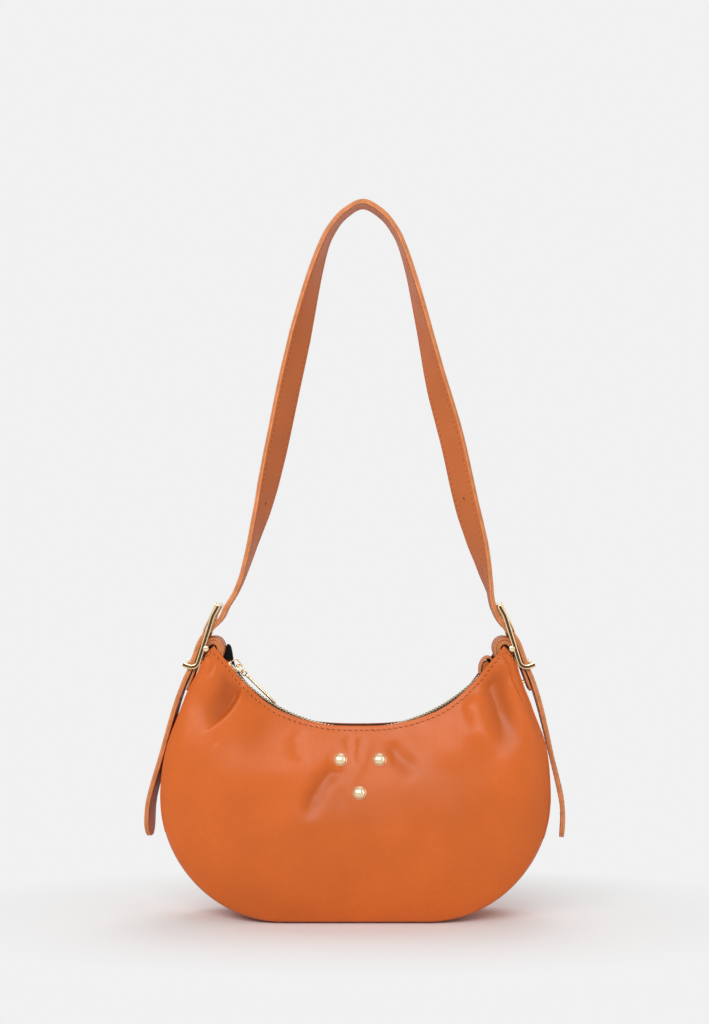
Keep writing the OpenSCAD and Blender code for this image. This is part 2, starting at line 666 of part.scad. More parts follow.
// One layer of the strap, between two distances inward from its middle face
module strap_layer(from, to) {
    xs = [for (x = [0:arch_step:2 * arch_n - 2]) x];
    rings = [for (x = xs) let (f = arch_frame(x), w = f[1] * strap_w / 2)
        [f[0] - w + f[2] * from, f[0] + w + f[2] * from, f[0] + w + f[2] * to, f[0] - w + f[2] * to]];
    n = len(rings);
    function low_side(a, b) = [[a, b, b + 4], [a, b + 4, a + 4]];
    function high_side(a, b) = [[a, b, a + 4], [b, b + 4, a + 4]];
    sides = [for (i = [0:4:4 * n - 8])
        each concat(low_side(i, i + 1), low_side(i + 1, i + 2), high_side(i + 2, i + 3), low_side(i + 3, i))];
    caps = [[2, 1, 0], [3, 2, 0], [4 * n - 4, 4 * n - 3, 4 * n - 2], [4 * n - 4, 4 * n - 2, 4 * n - 1]];
    polyhedron(points = [for (r = rings) each r], faces = concat(sides, caps));
}
// Adjusting holes along each run, a pitch apart from the prong
module strap_holes() {
    for (place = strap_hole_places, run = [0, 1]) {
        f = arch_frame(run == 0 ? place : 2 * arch_n - 2 - place);
        n = f[2];
        translate(f[0]) rotate([0, acos(n[2]), atan2(n[1], n[0])])
            cylinder(h = 4 * strap_t, d = hole_d, center = true, $fn = 24);
    }
}
// Where along the knots each hole falls, found by walking the middle line
prong_hole_y = (strap_slot_low + strap_slot_high) / 2;
bend_low = [bar_x - buckle_up * sin(buckle_tilt) + strap_in_x * cos(buckle_tilt),
    bar_z + buckle_up * cos(buckle_tilt) + strap_in_x * sin(buckle_tilt)];
thread_rest = buckle_up - prong_hole_y + norm([arch_half_span, arch_start_z] - bend_low);
walk_step = 0.05;
walk = [for (x = 0, d = thread_rest; x < arch_n - 1;
    d = d + norm(arch_mid(x + walk_step) - arch_mid(x)), x = x + walk_step) [x, d]];
strap_hole_places = [for (k = [1, 2]) [for (w = walk) if (w[1] >= k * hole_pitch) w[0]][0]];

module strap_outer_layer() {
    color(strap_colour) difference() {
        strap_layer(-strap_t / 2, -layer_gap / 2);
        strap_holes();
    }
}
module strap_inner_layer() {
    color(strap_colour) difference() {
        strap_layer(layer_gap / 2, strap_t / 2);
        strap_holes();
    }
}

// The short stretch between a buckle and the arch, which bends as the strap falls
module strap_bend(side) {
    x = side > 0 ? 0 : 2 * arch_n - 2;
    m = arch_mid(x);
    top = [m[0], m[2]];
    low = [lean + side * bend_low[0], bend_low[1]];
    d = unit(top - low);
    start = low + d * strap_gap;
    end = top - d * strap_gap;
    color(strap_colour) rotate([90, 0, 0]) linear_extrude(height = strap_w, center = true)
        band([start, end], strap_t);
}

front_panel();
back_panel();
gusset();
lining_front();
lining_back();
lining_gusset();
inner_pocket();
zip_tape_front();
zip_tape_back();
zip_teeth_front();
zip_teeth_back();
zip_stops();
zip_end_tab();
zip_slider();
pull_ring();
pull_bar();
stud_caps();
stud_backs();
chape(LEFT);  // left_chape
chape(RIGHT);  // right_chape
chape_rivet(LEFT);  // left_chape_rivet
chape_rivet(RIGHT);  // right_chape_rivet
buckle_frame(LEFT);  // left_buckle_frame
buckle_frame(RIGHT);  // right_buckle_frame
buckle_prong(LEFT);  // left_buckle_prong
buckle_prong(RIGHT);  // right_buckle_prong
strap_end(LEFT);  // left_strap_end
strap_end(RIGHT);  // right_strap_end
strap_bend(LEFT);  // left_strap_bend
strap_bend(RIGHT);  // right_strap_bend
strap_outer_layer();
strap_inner_layer();
strap_tail(LEFT);  // left_strap_tail
strap_tail(RIGHT);  // right_strap_tail
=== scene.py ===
"""Looks of the crescent shoulder bag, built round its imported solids.

Lengths inside this file are in millimetres, in the frame of the solids, and are turned
into metres when a mesh is made.
"""

import math

import bmesh
import bpy
import numpy as np
from bpy.props import FloatProperty, FloatVectorProperty, PointerProperty
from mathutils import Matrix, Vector


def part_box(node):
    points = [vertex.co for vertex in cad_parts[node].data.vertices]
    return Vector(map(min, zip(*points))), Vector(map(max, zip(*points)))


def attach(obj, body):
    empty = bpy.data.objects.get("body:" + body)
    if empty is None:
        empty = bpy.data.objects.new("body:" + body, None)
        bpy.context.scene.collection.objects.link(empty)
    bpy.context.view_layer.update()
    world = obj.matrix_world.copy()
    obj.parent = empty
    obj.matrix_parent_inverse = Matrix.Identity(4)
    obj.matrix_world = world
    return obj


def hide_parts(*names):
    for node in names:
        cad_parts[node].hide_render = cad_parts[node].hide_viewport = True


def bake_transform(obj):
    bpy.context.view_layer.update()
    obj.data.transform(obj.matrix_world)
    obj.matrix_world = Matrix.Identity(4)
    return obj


bl_info = {
    "name": "Crescent shoulder bag",
    "version": (1, 0, 0),
    "blender": (4, 5, 0),
    "location": "View3D > Sidebar > Bag",
    "description": "Builds the leather, cloth and metal of a crescent shoulder bag",
    "category": "Object",
}

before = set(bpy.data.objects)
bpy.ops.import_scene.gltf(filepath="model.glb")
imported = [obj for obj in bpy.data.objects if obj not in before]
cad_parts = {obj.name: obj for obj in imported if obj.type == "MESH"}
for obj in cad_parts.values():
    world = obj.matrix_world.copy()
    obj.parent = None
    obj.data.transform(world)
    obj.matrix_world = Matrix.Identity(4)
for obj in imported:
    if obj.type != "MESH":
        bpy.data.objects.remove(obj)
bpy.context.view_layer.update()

MM = 0.001
LEFT, RIGHT = -1, 1

# Sizes of the solids that the looks follow
BODY_W, CORNER_R, SIDE_R, HORN_H = 282.0, 90.0, 175.0, 190.0
BASE_D, HORN_D, CROWN, LEAN = 50.0, 26.0, 15.0, 2.5
LEATHER_T, LAYER_GAP = 1.4, 0.2
PEAK_UP, PEAK_IN, MOUTH_DEG, MOUTH_DIP, MOUTH_HALF = 8.6, 7.6, 59.8, 5.0, 11.0
ZIP_DROP, ZIP_DEG, TAPE_DEG, SLIDER_DEG = 3.5, 48.0, 53.0, 51.0
STRAP_W, STRAP_T, APEX_H, STRAP_DRIFT = 25.0, 3.4, 524.0, 3.0
HOLE_D, HOLE_PITCH = 3.0, 54.0
CENTRE_BAR_D, BUCKLE_UP, BUCKLE_DOWN, TOP_BAR_D, KEEPER_D = 3.5, 31.0, 16.0, 4.0, 3.8
RAIL_W, RAIL_T, RAIL_X, TOP_X, KEEPER_X, BEND_R = 3.0, 3.4, 2.3, 1.0, 10.5, 5.0
CHAPE_W, CHAPE_T, CHAPE_LEG, CHAPE_SPLAY = 24.0, 1.8, 34.0, 1.5
TAIL_L = 127.0

# How the soft leather departs from the plain solids
FLANK_LOW, FLANK_RISE = 122.0, 30.0
LEFT_FLANK, RIGHT_FLANK = (1.3, 148.0, 26.0), (2.8, 162.0, 24.0)
EAR_OUT, EAR_LOW, EAR_RISE, EAR_W, EAR_FADE = 3.4, 176.0, 20.0, 26.0, 20.0
SEAM_LIP, SEAM_TUCK, SEAM_END = 3.0, 1.3, 12.0
HORN_SHARE = 0.8
CROWN_POWER, CROWN_FLAT_SHARE, CROWN_END_SHARE = 0.8, 0.5, 0.2
MOUTH_LINE_IN, MOUTH_LINE_W, MOUTH_LINE_DEEP = 2.6, 1.1, 0.16
FRONT_RISE, BACK_RISE, RISE_FADE = 1.9, -1.2, 26.0
# Where the front edge's rise grows and falls, and over how much, as shares of half the mouth
RISE_START, RISE_GROW, RISE_STOP, RISE_FALL, RISE_CLEAR, RISE_END = 0.12, 0.3, 0.66, 0.14, 0.98, 0.1
FOLD_STEP, FOLD_EDGE, FOLD_MOUTH, MOUTH_CALM_SHARE = 3.0, 14.0, 9.0, 0.1
STUD_FLAT, STUD_FADE = 4.5, 7.0
WAVES, SHORT_WAVE, LONG_WAVE = 9, 28, 75
PANEL_SHAKE, PANEL_SHAKE_EDGE, PANEL_SHAKE_MOUTH = 0.34, 18.0, 16.0
PANEL_COLS, PANEL_ROWS, ROW_POWER = 380, 120, 1.25
RIM_STEPS = 5

FLAT_HALF = BODY_W / 2 - CORNER_R
CORNER_LEN = CORNER_R * math.pi / 2
SIDE_ANGLE = math.asin((HORN_H - CORNER_R) / SIDE_R)
OUTLINE_LEN = FLAT_HALF + CORNER_LEN + SIDE_R * SIDE_ANGLE
SIDE_X = BODY_W / 2 - SIDE_R
HORN_X = SIDE_X + SIDE_R * math.cos(SIDE_ANGLE)
MOUTH_HALF_ANGLE = math.radians(MOUTH_DEG)
MOUTH_R = (HORN_X - PEAK_IN) / math.sin(MOUTH_HALF_ANGLE)
MOUTH_Z = HORN_H + PEAK_UP + MOUTH_R * math.cos(MOUTH_HALF_ANGLE)
ZIP_R = MOUTH_R + ZIP_DROP
BAR_X, BAR_Z = HORN_X + 1.4, HORN_H + 6.8
BUCKLE_TILT = SIDE_ANGLE * 0.5
RAIL_Y = STRAP_W / 2 + 1 + RAIL_W / 2


def lerp(a, b, t):
    return a + (b - a) * t


def ramp(x):
    t = np.clip(x, 0.0, 1.0)
    return t * t * (3 - 2 * t)


def unit(v):
    v = np.asarray(v, float)
    return v / np.maximum(np.linalg.norm(v, axis=-1, keepdims=True), 1e-9)


def linear(red, green, blue):
    """A colour as the eye reads it, 0 to 255, as Blender's linear values."""
    shares = [c / 255 for c in (red, green, blue)]
    return [c / 12.92 if c <= 0.04045 else ((c + 0.055) / 1.055) ** 2.4 for c in shares]


# Mesh tools


def make_piece(name, points, faces, finishes, finish_of=None):
    """A mesh object from points in millimetres."""
    mesh = bpy.data.meshes.new(name)
    mesh.from_pydata((np.asarray(points, float) * MM).tolist(), [], [list(f) for f in faces])
    for finish in finishes:
        mesh.materials.append(finish)
    if finish_of is not None:
        mesh.polygons.foreach_set("material_index", np.asarray(finish_of, np.int32))
    shell = bmesh.new()
    shell.from_mesh(mesh)
    bmesh.ops.recalc_face_normals(shell, faces=shell.faces[:])
    shell.to_mesh(mesh)
    shell.free()
    mesh.polygons.foreach_set("use_smooth", [True] * len(mesh.polygons))
    piece = bpy.data.objects.new(name, mesh)
    bpy.context.scene.collection.objects.link(piece)
    return piece


def sharpen(piece, degrees):
    """Keeps edges above an angle crisp while the faces stay smooth."""
    piece.data.set_sharp_from_angle(angle=math.radians(degrees))
    return piece


class Batch:
    """Gathers many small parts into one mesh."""

    def __init__(self):
        self.points, self.faces, self.finish = [], [], []
        self.count = 0

    def add(self, points, faces, finish=0):
        self.points.append(np.asarray(points, float))
        self.faces += [[i + self.count for i in f] for f in faces]
        self.finish += [finish] * len(faces)
        self.count += len(points)

    def piece(self, name, finishes, slot):
        points = np.concatenate(self.points)
        return make_piece(name, points, self.faces, finishes, self.finish)


def ring_faces(rings, sides, closed_path=False):
    """Faces that join rings of points, each with the same number of sides."""
    faces = []
    last = rings if closed_path else rings - 1
    for i in range(last):
        a, b = i * sides, ((i + 1) % rings) * sides
        for k in range(sides):
            n = (k + 1) % sides
            faces.append([a + k, a + n, b + n, b + k])
    if not closed_path:
        faces.append(list(range(sides - 1, -1, -1)))
        faces.append([(rings - 1) * sides + k for k in range(sides)])
    return faces


def path_sides(path, up, closed):
    """Side and normal along a path; the side stays as near to up as it can."""
    if closed:
        tangent = unit(np.roll(path, -1, axis=0) - np.roll(path, 1, axis=0))
    else:
        tangent = unit(np.gradient(path, axis=0))
    up = np.broadcast_to(np.asarray(up, float), path.shape)
    side = unit(up - tangent * np.sum(up * tangent, axis=1, keepdims=True))
    return side, np.cross(tangent, side)


def sweep(path, section, up, closed=False):
    """Points and faces of a section swept along a path. Section points are (side, normal)."""
    path = np.asarray(path, float)
    side, normal = path_sides(path, up, closed)
    section = np.asarray(section, float)
    if section.ndim == 2:
        section = np.broadcast_to(section, (len(path),) + section.shape)
    points = path[:, None] + side[:, None] * section[..., :1] + normal[:, None] * section[..., 1:]
    return points.reshape(-1, 3), ring_faces(len(path), section.shape[1], closed)


def round_angles(count):
    return np.arange(count) * 2 * math.pi / count


def circle(radius, sides):
    a = round_angles(sides)
    return np.stack([radius * np.cos(a), radius * np.sin(a)], 1)


def rounded_box(width, height, radius, steps=4):
    """Outline of a rectangle with rounded corners."""
    out = []
    for cx, cy, start in ((1, 1, 0), (-1, 1, 90), (-1, -1, 180), (1, -1, 270)):
        for k in range(steps + 1):
            a = math.radians(start + 90 * k / steps)
            out.append([cx * (width / 2 - radius) + radius * math.cos(a),
                        cy * (height / 2 - radius) + radius * math.sin(a)])
    return np.array(out)


CURVE_STEPS = 24


def smooth_path(knots, spacing):
    """Centripetal curve through the knots, with even spacing."""
    knots = np.asarray(knots, float)
    ends = [2 * knots[0] - knots[1], *knots, 2 * knots[-1] - knots[-2]]
    out = []
    for near in zip(ends, ends[1:], ends[2:], ends[3:]):
        gaps = [max(np.linalg.norm(q - p), 1e-6) ** 0.5 for p, q in zip(near, near[1:])]
        t = np.cumsum([0] + gaps)
        for x in np.linspace(t[1], t[2], CURVE_STEPS, endpoint=False):
            places = near
            for first, span in ((0, 1), (0, 2), (1, 1)):
                places = [lerp(a, b, (x - start) / (end - start))
                          for a, b, start, end in zip(places, places[1:], t[first:], t[first + span:])]
            out.append(places[0])
    out.append(knots[-1])
    return even_path(out, spacing)


def even_path(path, spacing):
    """The same path with its points evenly spaced."""
    path = np.asarray(path, float)
    walked = walked_length(path)
    steps = max(2, int(round(walked[-1] / spacing)) + 1)
    at = np.linspace(0, walked[-1], steps)
    return np.stack([np.interp(at, walked, path[:, k]) for k in range(path.shape[1])], 1)


def walked_length(path):
    """The length walked along a path up to each of its points."""
    return np.concatenate([[0], np.cumsum(np.linalg.norm(np.diff(path, axis=0), axis=1))])


# Shape of the body


def lean_at(z):
    return LEAN * ramp((z - CORNER_R) / (HORN_H - CORNER_R))


def flank_sink(z, depth, top, fade):
    """How far a soft flank sinks in at a height."""
    return depth * (1 - ramp((z - top) / fade)) * ramp((z - FLANK_LOW) / FLANK_RISE)


def outline_point(s, inset=0.0):
    """The seam outline at s from -1 to 1, set in from the gusset's outer face: X and Z."""
    s = np.asarray(s, float)
    d = np.abs(s) * OUTLINE_LEN
    corner = np.clip((d - FLAT_HALF) / CORNER_R, 0, math.pi / 2)
    side = np.clip((d - FLAT_HALF - CORNER_LEN) / SIDE_R, 0, None)
    on_side = d >= FLAT_HALF + CORNER_LEN
    x = np.where(on_side, SIDE_X + (SIDE_R - inset) * np.cos(side),
                 np.minimum(d, FLAT_HALF) + (CORNER_R - inset) * np.sin(corner))
    z = np.where(on_side, CORNER_R + (SIDE_R - inset) * np.sin(side),
                 CORNER_R - (CORNER_R - inset) * np.cos(corner))
    # The soft flanks below the chapes sink in a little, more on the right
    x = x - np.where(s < 0, flank_sink(z, *LEFT_FLANK), flank_sink(z, *RIGHT_FLANK))
    return np.where(s < 0, -x, x) + lean_at(z), z


def mouth_point(s, drop=0.0):
    """The mouth edge at s, a distance below the leather's edge: X and Z."""
    a = s * MOUTH_HALF_ANGLE
    r = MOUTH_R + drop + MOUTH_DIP * np.sin(np.pi * np.abs(s)) ** 2
    return LEAN + r * np.sin(a), MOUTH_Z - r * np.cos(a)


def seam_half(z):
    """Half the gusset's width at a height."""
    return lerp(BASE_D, HORN_D, z / HORN_H) / 2


def mouth_gap(s):
    """How far the mouth's edge lies from the middle plane."""
    return MOUTH_HALF + (HORN_D / 2 - MOUTH_HALF) * ramp((np.abs(s) - HORN_SHARE) / (1 - HORN_SHARE))


def ear(x, z):
    """How far the horns' tips lie outwards, over the chapes."""
    near_tip = ramp((np.abs(x - LEAN) - HORN_X + EAR_W) / EAR_FADE)
    return np.sign(x) * EAR_OUT * ramp((z - EAR_LOW) / EAR_RISE) * near_tip


def puff(s, t):
    """How far the filled bag swells out at a place on its panel."""
    upright = np.sin(np.pi * np.clip(t, 0, 1) ** CROWN_POWER)
    towards_end = ramp((np.abs(s) - CROWN_FLAT_SHARE) / (1 - CROWN_FLAT_SHARE))
    return CROWN * upright * lerp(1, CROWN_END_SHARE, towards_end)


def sheet_point(s, t, drop=0.0, inset=0.0, behind=0.0):
    """A point of the front panel's face, or of a sheet behind it."""
    ox, oz = outline_point(s, inset)
    mx, mz = mouth_point(s, drop)
    y = lerp(seam_half(oz), mouth_gap(s), t) + puff(s, t) + LEATHER_T + LAYER_GAP - behind
    return np.stack([lerp(ox, mx, t), -y, lerp(oz, mz, t)], -1)


# The picture's middle, the camera's height and the size of a pixel at the front panel
MIDDLE_COLUMN, MIDDLE_ROW, CAMERA_HEIGHT, PIXEL = 355.5, 512, 296, 0.713


def from_photo(px, py):
    """A place on the front panel from its place in the picture."""
    return (px - MIDDLE_COLUMN) * PIXEL, CAMERA_HEIGHT + (MIDDLE_ROW - py) * PIXEL


# Where the studs sit, as shares of the front panel's width and height
STUD_SHARES = [(-0.085, 0.837), (0.1005, 0.837), (0.0067, 0.675)]

# Folds of the front panel: places along each in the picture, height out of the leather,
# the width on its left and on its right as it is walked, and how soon it starts and ends
FRONT_FOLDS = [
    # The deep crease under the left horn, its hollow and the bulge that hangs over it
    ([(246, 652), (241, 682), (235, 700), (226, 713), (215, 723), (198, 735)], -5.6, 1.3, 13.0, 0.3, 0.45),
    ([(249, 660), (244, 684), (238, 702), (229, 715), (218, 725), (201, 737)], 2.2, 19.0, 1.5, 0.25, 0.45),
    ([(222, 662), (214, 682), (203, 702)], 1.2, 7.0, 8.0, 0.2, 0.4),
    ([(216, 663), (206, 680)], -0.5, 1.6, 1.6, 0.3, 0.3),
    # Broad swell across the upper left, and the fine creases that cross it
    ([(202, 764), (250, 769), (300, 776), (338, 788)], 2.0, 22.0, 20.0, 0.3, 0.4),
    ([(290, 735), (297, 752), (292, 768)], -0.8, 7.0, 6.0, 0.3, 0.4),
    ([(214, 734), (216, 748)], -0.35, 1.6, 1.6, 0.3, 0.3),
    # Gathers that run down from the middle of the mouth
    ([(349, 758), (334, 772), (320, 788), (311, 804), (309, 826)], -3.6, 9.0, 5.5, 0.25, 0.4),
    ([(345, 762), (335, 780), (326, 796), (320, 818)], 1.5, 6.0, 8.0, 0.25, 0.6),
    ([(355, 734), (353, 752), (347, 768), (341, 790)], 0.8, 4.5, 4.5, 0.25, 0.5),
    ([(361, 736), (360, 755), (354, 774)], -0.9, 4.0, 4.0, 0.3, 0.5),
    ([(346, 736), (349, 750), (347, 766)], -0.9, 3.6, 3.6, 0.3, 0.5),
    ([(368, 736), (365, 755), (357, 774), (350, 798)], 0.8, 5.0, 5.0, 0.3, 0.55),
    ([(389, 742), (396, 756), (409, 768), (421, 780)], -1.5, 6.0, 8.0, 0.3, 0.4),
    ([(340, 785), (343, 802), (338, 822)], -0.5, 6.0, 7.0, 0.35, 0.5),
    # Soft folds under the right horn
    ([(466, 696), (474, 718), (485, 740), (500, 758)], 2.6, 11.0, 10.0, 0.25, 0.45),
    ([(458, 706), (467, 722), (475, 738)], -1.5, 6.0, 6.0, 0.2, 0.4),
    ([(490, 668), (496, 690), (502, 714), (506, 740), (506, 764)], -4.4, 12.0, 9.0, 0.2, 0.55),
    ([(502, 670), (513, 694), (524, 720), (531, 744), (534, 766)], 2.2, 8.0, 8.0, 0.25, 0.55),
    ([(420, 752), (450, 752), (485, 758)], 1.4, 15.0, 13.0, 0.4, 0.45),
]
# The stitched seam that runs down from the right horn
HORN_SEAM = ([(497, 656), (508.5, 668.7), (518.5, 689), (528, 708)], -1.1, 0.9, 0.9, 0.12, 0.2)
# The back is plainer: one soft crease under each horn and a little slack in the middle
BACK_FOLDS = [
    ([(240, 690), (225, 708), (208, 724)], -3.2, 8.0, 12.0, 0.2, 0.45),
    ([(474, 684), (488, 706), (500, 728)], -3.0, 10.0, 9.0, 0.2, 0.4),
    ([(258, 716), (262, 744), (280, 768)], 1.4, 14.0, 16.0, 0.3, 0.4),
    ([(372, 742), (380, 764), (398, 784)], -1.2, 9.0, 8.0, 0.3, 0.4),
    ([(320, 738), (326, 762), (318, 786)], -0.9, 8.0, 8.0, 0.3, 0.4),
    ([(452, 720), (440, 744), (446, 772)], 1.2, 12.0, 12.0, 0.3, 0.4),
]


def fold_height(x, z, fold):
    """How far one fold lifts the leather at each place."""
    places, height, left_w, right_w, start, end = fold
    knots = even_path(smooth_path([from_photo(*p) for p in places], FOLD_STEP), FOLD_STEP)
    walked = walked_length(knots)
    best = np.full(x.shape, 1e9)
    along = np.zeros(x.shape)
    hand = np.zeros(x.shape)
    for i in range(len(knots) - 1):
        a, d = knots[i], knots[i + 1] - knots[i]
        length = np.linalg.norm(d)
        t = np.clip(((x - a[0]) * d[0] + (z - a[1]) * d[1]) / length**2, 0, 1)
        dx, dz = x - a[0] - d[0] * t, z - a[1] - d[1] * t
        far = np.hypot(dx, dz)
        near = far < best
        best = np.where(near, far, best)
        along = np.where(near, (walked[i] + t * length) / walked[-1], along)
        hand = np.where(near, d[0] * dz - d[1] * dx, hand)
    width = np.where(hand > 0, left_w, right_w)
    fade = ramp(along / start) * ramp((1 - along) / end)
    return height * fade * np.exp(-((best / width) ** 2))


def shake(x, z, seed, size):
    """Smooth unevenness of soft leather, from a few crossing waves."""
    rng = np.random.default_rng(seed)
    total = np.zeros(np.shape(x))
    for _ in range(WAVES):
        a = rng.uniform(0, math.pi)
        length = rng.uniform(SHORT_WAVE, LONG_WAVE)
        crest = rng.uniform(0, 6.3)
        total += np.sin((x * math.cos(a) + z * math.sin(a)) * 2 * math.pi / length + crest)
    return size * total / math.sqrt(WAVES)


def surface_normal(p):
    """Outward normals of a grid of points on the front side."""
    n = unit(np.cross(np.gradient(p, axis=0), np.gradient(p, axis=1)))
    return np.where(n[..., 1:2] > 0, -n, n)


def seam_tuck(edge, z):
    """How far the leather turns in beside the seam; not at the horns, where it ends."""
    return (1 - np.clip(edge / SEAM_LIP, 0, 1)) ** 2 * SEAM_TUCK * ramp((HORN_H + 2 - z) / SEAM_END)


def seam_inward(s):
    """Direction from the outline to the bag's inside, in X and Z."""
    x0, z0 = outline_point(s)
    x1, z1 = outline_point(s, 1.0)
    return unit(np.stack([x1 - x0, np.zeros_like(x0), z1 - z0], -1))


def folds_at(p, s, folds):
    """How far the folds lift a sheet, and how far its places lie from the seam and the mouth."""
    x, z = p[..., 0], p[..., 2]
    lift = sum(fold_height(x, z, f) for f in folds) * bpy.context.scene.bag_sizes.fold_share
    edge = np.hypot(x - outline_point(s)[0], z - outline_point(s)[1])
    to_mouth = np.hypot(x - mouth_point(s)[0], z - mouth_point(s)[1])
    by_mouth = MOUTH_CALM_SHARE + (1 - MOUTH_CALM_SHARE) * ramp((to_mouth - 1) / FOLD_MOUTH)
    return lift * ramp(edge / FOLD_EDGE) * by_mouth, edge, to_mouth


def spread_grid(across, up):
    return np.meshgrid(across, up, indexing="ij")


def panel_grid(folds, seed, studded):
    """The face of a panel with its folds, drawn as the front one, and its lift."""
    s, t = spread_grid(np.linspace(-1, 1, PANEL_COLS + 1), np.linspace(0, 1, PANEL_ROWS + 1) ** ROW_POWER)
    p = sheet_point(s, t)
    normal = surface_normal(p)
    x, z = p[..., 0], p[..., 2]
    lift, edge, to_mouth = folds_at(p, s, folds)
    for place in STUD_SHARES if studded else ():
        stud = sheet_point(np.array(place[0]), np.array(place[1]))
        lift = lift * ramp((np.linalg.norm(p - stud, axis=-1) - STUD_FLAT) / STUD_FADE)
    crumple = lift.copy()
    calm = ramp(edge / PANEL_SHAKE_EDGE) * ramp(to_mouth / PANEL_SHAKE_MOUTH)
    lift = lift + shake(x, z, seed, PANEL_SHAKE) * calm
    # Pressed line of the topstitch
    lift = lift - MOUTH_LINE_DEEP * np.exp(-(((to_mouth - MOUTH_LINE_IN) / MOUTH_LINE_W) ** 2))
    if studded:
        lift = lift + fold_height(x, z, HORN_SEAM)
    p = p + normal * lift[..., None]
    p[..., 0] += ear(x, z)
    # The front edge stands a little higher where the zip would show; the back one lower
    rise = BACK_RISE
    if studded:
        grown = ramp((np.abs(s) - RISE_START) / RISE_GROW)
        rise = FRONT_RISE * grown * (1 - ramp((np.abs(s) - RISE_STOP) / RISE_FALL))
    p[..., 2] += rise * (1 - ramp(to_mouth / RISE_FADE)) * ramp((RISE_CLEAR - np.abs(s)) / RISE_END)
    # The leather turns in at the bottom seam
    roll = seam_tuck(edge, z)[..., None]
    return p + roll * (seam_inward(s) + np.array([0, 1, 0])), crumple


def on_grid(grid, s, t):
    """Places on a panel's grid at shares of its width and height."""
    cols, rows = grid.shape[0] - 1, grid.shape[1] - 1
    i = np.clip((np.asarray(s, float) + 1) / 2 * cols, 0, cols - 1e-6)
    j = np.clip(np.asarray(t, float) ** (1 / ROW_POWER) * rows, 0, rows - 1e-6)
    a, b = i.astype(int), j.astype(int)
    u, v = (i - a)[..., None], (j - b)[..., None]
    return lerp(lerp(grid[a, b], grid[a + 1, b], u), lerp(grid[a, b + 1], grid[a + 1, b + 1], u), v)


def turned_rim(face, back):
    """Rows that carry a sheet round its last edge, from the face to the back."""
    out = unit(face[:, -1] - face[:, -2])
    middle, half = (face[:, -1] + back[:, -1]) / 2, (face[:, -1] - back[:, -1]) / 2
    thick = np.linalg.norm(half, axis=1, keepdims=True)
    rows = []
    for k in range(1, RIM_STEPS + 1):
        a = math.pi * k / (RIM_STEPS + 1)
        rows.append(middle + half * math.cos(a) + out * thick * math.sin(a))
    return rows


def sheet_mesh(face, thickness, normal, round_end=True):
    """A closed sheet from the grid of its face: points, faces, and which points are the face's."""
    back = face - normal * thickness
    rows = face.shape[1]
    strips = [face[:, j] for j in range(rows)]
    if round_end:
        strips += turned_rim(face, back)
    strips += [back[:, j] for j in range(rows - 1, -1, -1)]
    points = np.stack(strips, 1)
    cols, count = points.shape[0], points.shape[1]
    faces = []
    for i in range(cols - 1):
        for j in range(count):
            a, b = i * count + j, i * count + (j + 1) % count
            faces.append([a, a + count, b + count, b])
    for i in (0, cols - 1):
        cap = [i * count + j for j in range(count)]
        faces.append(cap if i == 0 else cap[::-1])
    kept = [i * count + j for i in range(cols) for j in range(rows)]
    return points.reshape(-1, 3), faces, kept


# Finishes


class Finish:
    """A material under construction: a shader and the few nodes that feed it."""

    def __init__(self, name, roughness, **sockets):
        self.material = bpy.data.materials.new(name)
        self.material.use_nodes = True
        self.tree = self.material.node_tree
        self.shader = self.tree.nodes["Principled BSDF"]
        self.shader.inputs["Roughness"].default_value = roughness
        for socket, value in sockets.items():
            label = socket.replace("_", " ").title().replace("Ior", "IOR")
            self.shader.inputs[label].default_value = value
        self.place = self.node("ShaderNodeTexCoord").outputs["Object"]

    def node(self, kind, inputs=None, **settings):
        """Adds a node; each of its inputs is a value or another node's socket."""
        made = self.tree.nodes.new(kind)
        for key, value in settings.items():
            setattr(made, key, value)
        for key, value in (inputs or {}).items():
            if isinstance(value, bpy.types.NodeSocket):
                self.tree.links.new(value, made.inputs[key])
            else:
                made.inputs[key].default_value = value
        return made

    def noise(self, scale, detail=3.0, roughness=0.5):
        inputs = {"Vector": self.place, "Scale": scale, "Detail": detail, "Roughness": roughness}
        return self.node("ShaderNodeTexNoise", inputs).outputs["Fac"]

    def cells(self, scale):
        return self.node("ShaderNodeTexVoronoi", {"Vector": self.place, "Scale": scale}).outputs["Distance"]

    def wave(self, scale, direction, distortion):
        inputs = {"Vector": self.place, "Scale": scale, "Distortion": distortion}
        bands = self.node("ShaderNodeTexWave", inputs, wave_type="BANDS", bands_direction=direction)
        return bands.outputs["Fac"]

    def spread(self, value, low, high, to_low=0.0, to_high=1.0):
        """Stretches a value from one range to another."""
        inputs = {"Value": value, "From Min": low, "From Max": high, "To Min": to_low, "To Max": to_high}
        return self.node("ShaderNodeMapRange", inputs).outputs["Result"]

    def calc(self, operation, a, b):
        return self.node("ShaderNodeMath", {0: a, 1: b}, operation=operation).outputs[0]

    def scaled(self, value, share):
        return self.calc("MULTIPLY", value, share)

    def tint(self, factor, a, b):
        """Mixes two colours; each is a list or a socket."""
        made = self.node("ShaderNodeMix", data_type="RGBA")
        for index, value in ((0, factor), (6, a), (7, b)):
            if isinstance(value, bpy.types.NodeSocket):
                self.tree.links.new(value, made.inputs[index])
            elif index:
                made.inputs[index].default_value = [*value, 1.0][:4]
            else:
                made.inputs[index].default_value = value
        return made.outputs[2]

    def mark(self, name):
        return self.node("ShaderNodeAttribute", attribute_name=name).outputs["Fac"]

    def colour(self, socket):
        self.tree.links.new(socket, self.shader.inputs["Base Color"])

    def dull(self, socket):
        self.tree.links.new(socket, self.shader.inputs["Roughness"])

    def relief(self, height, strength, distance):
        """Raises the surface by a height, given as a share of a distance in metres."""
        bump = self.node("ShaderNodeBump", {"Height": height, "Strength": strength, "Distance": distance})
        self.tree.links.new(bump.outputs["Normal"], self.shader.inputs["Normal"])


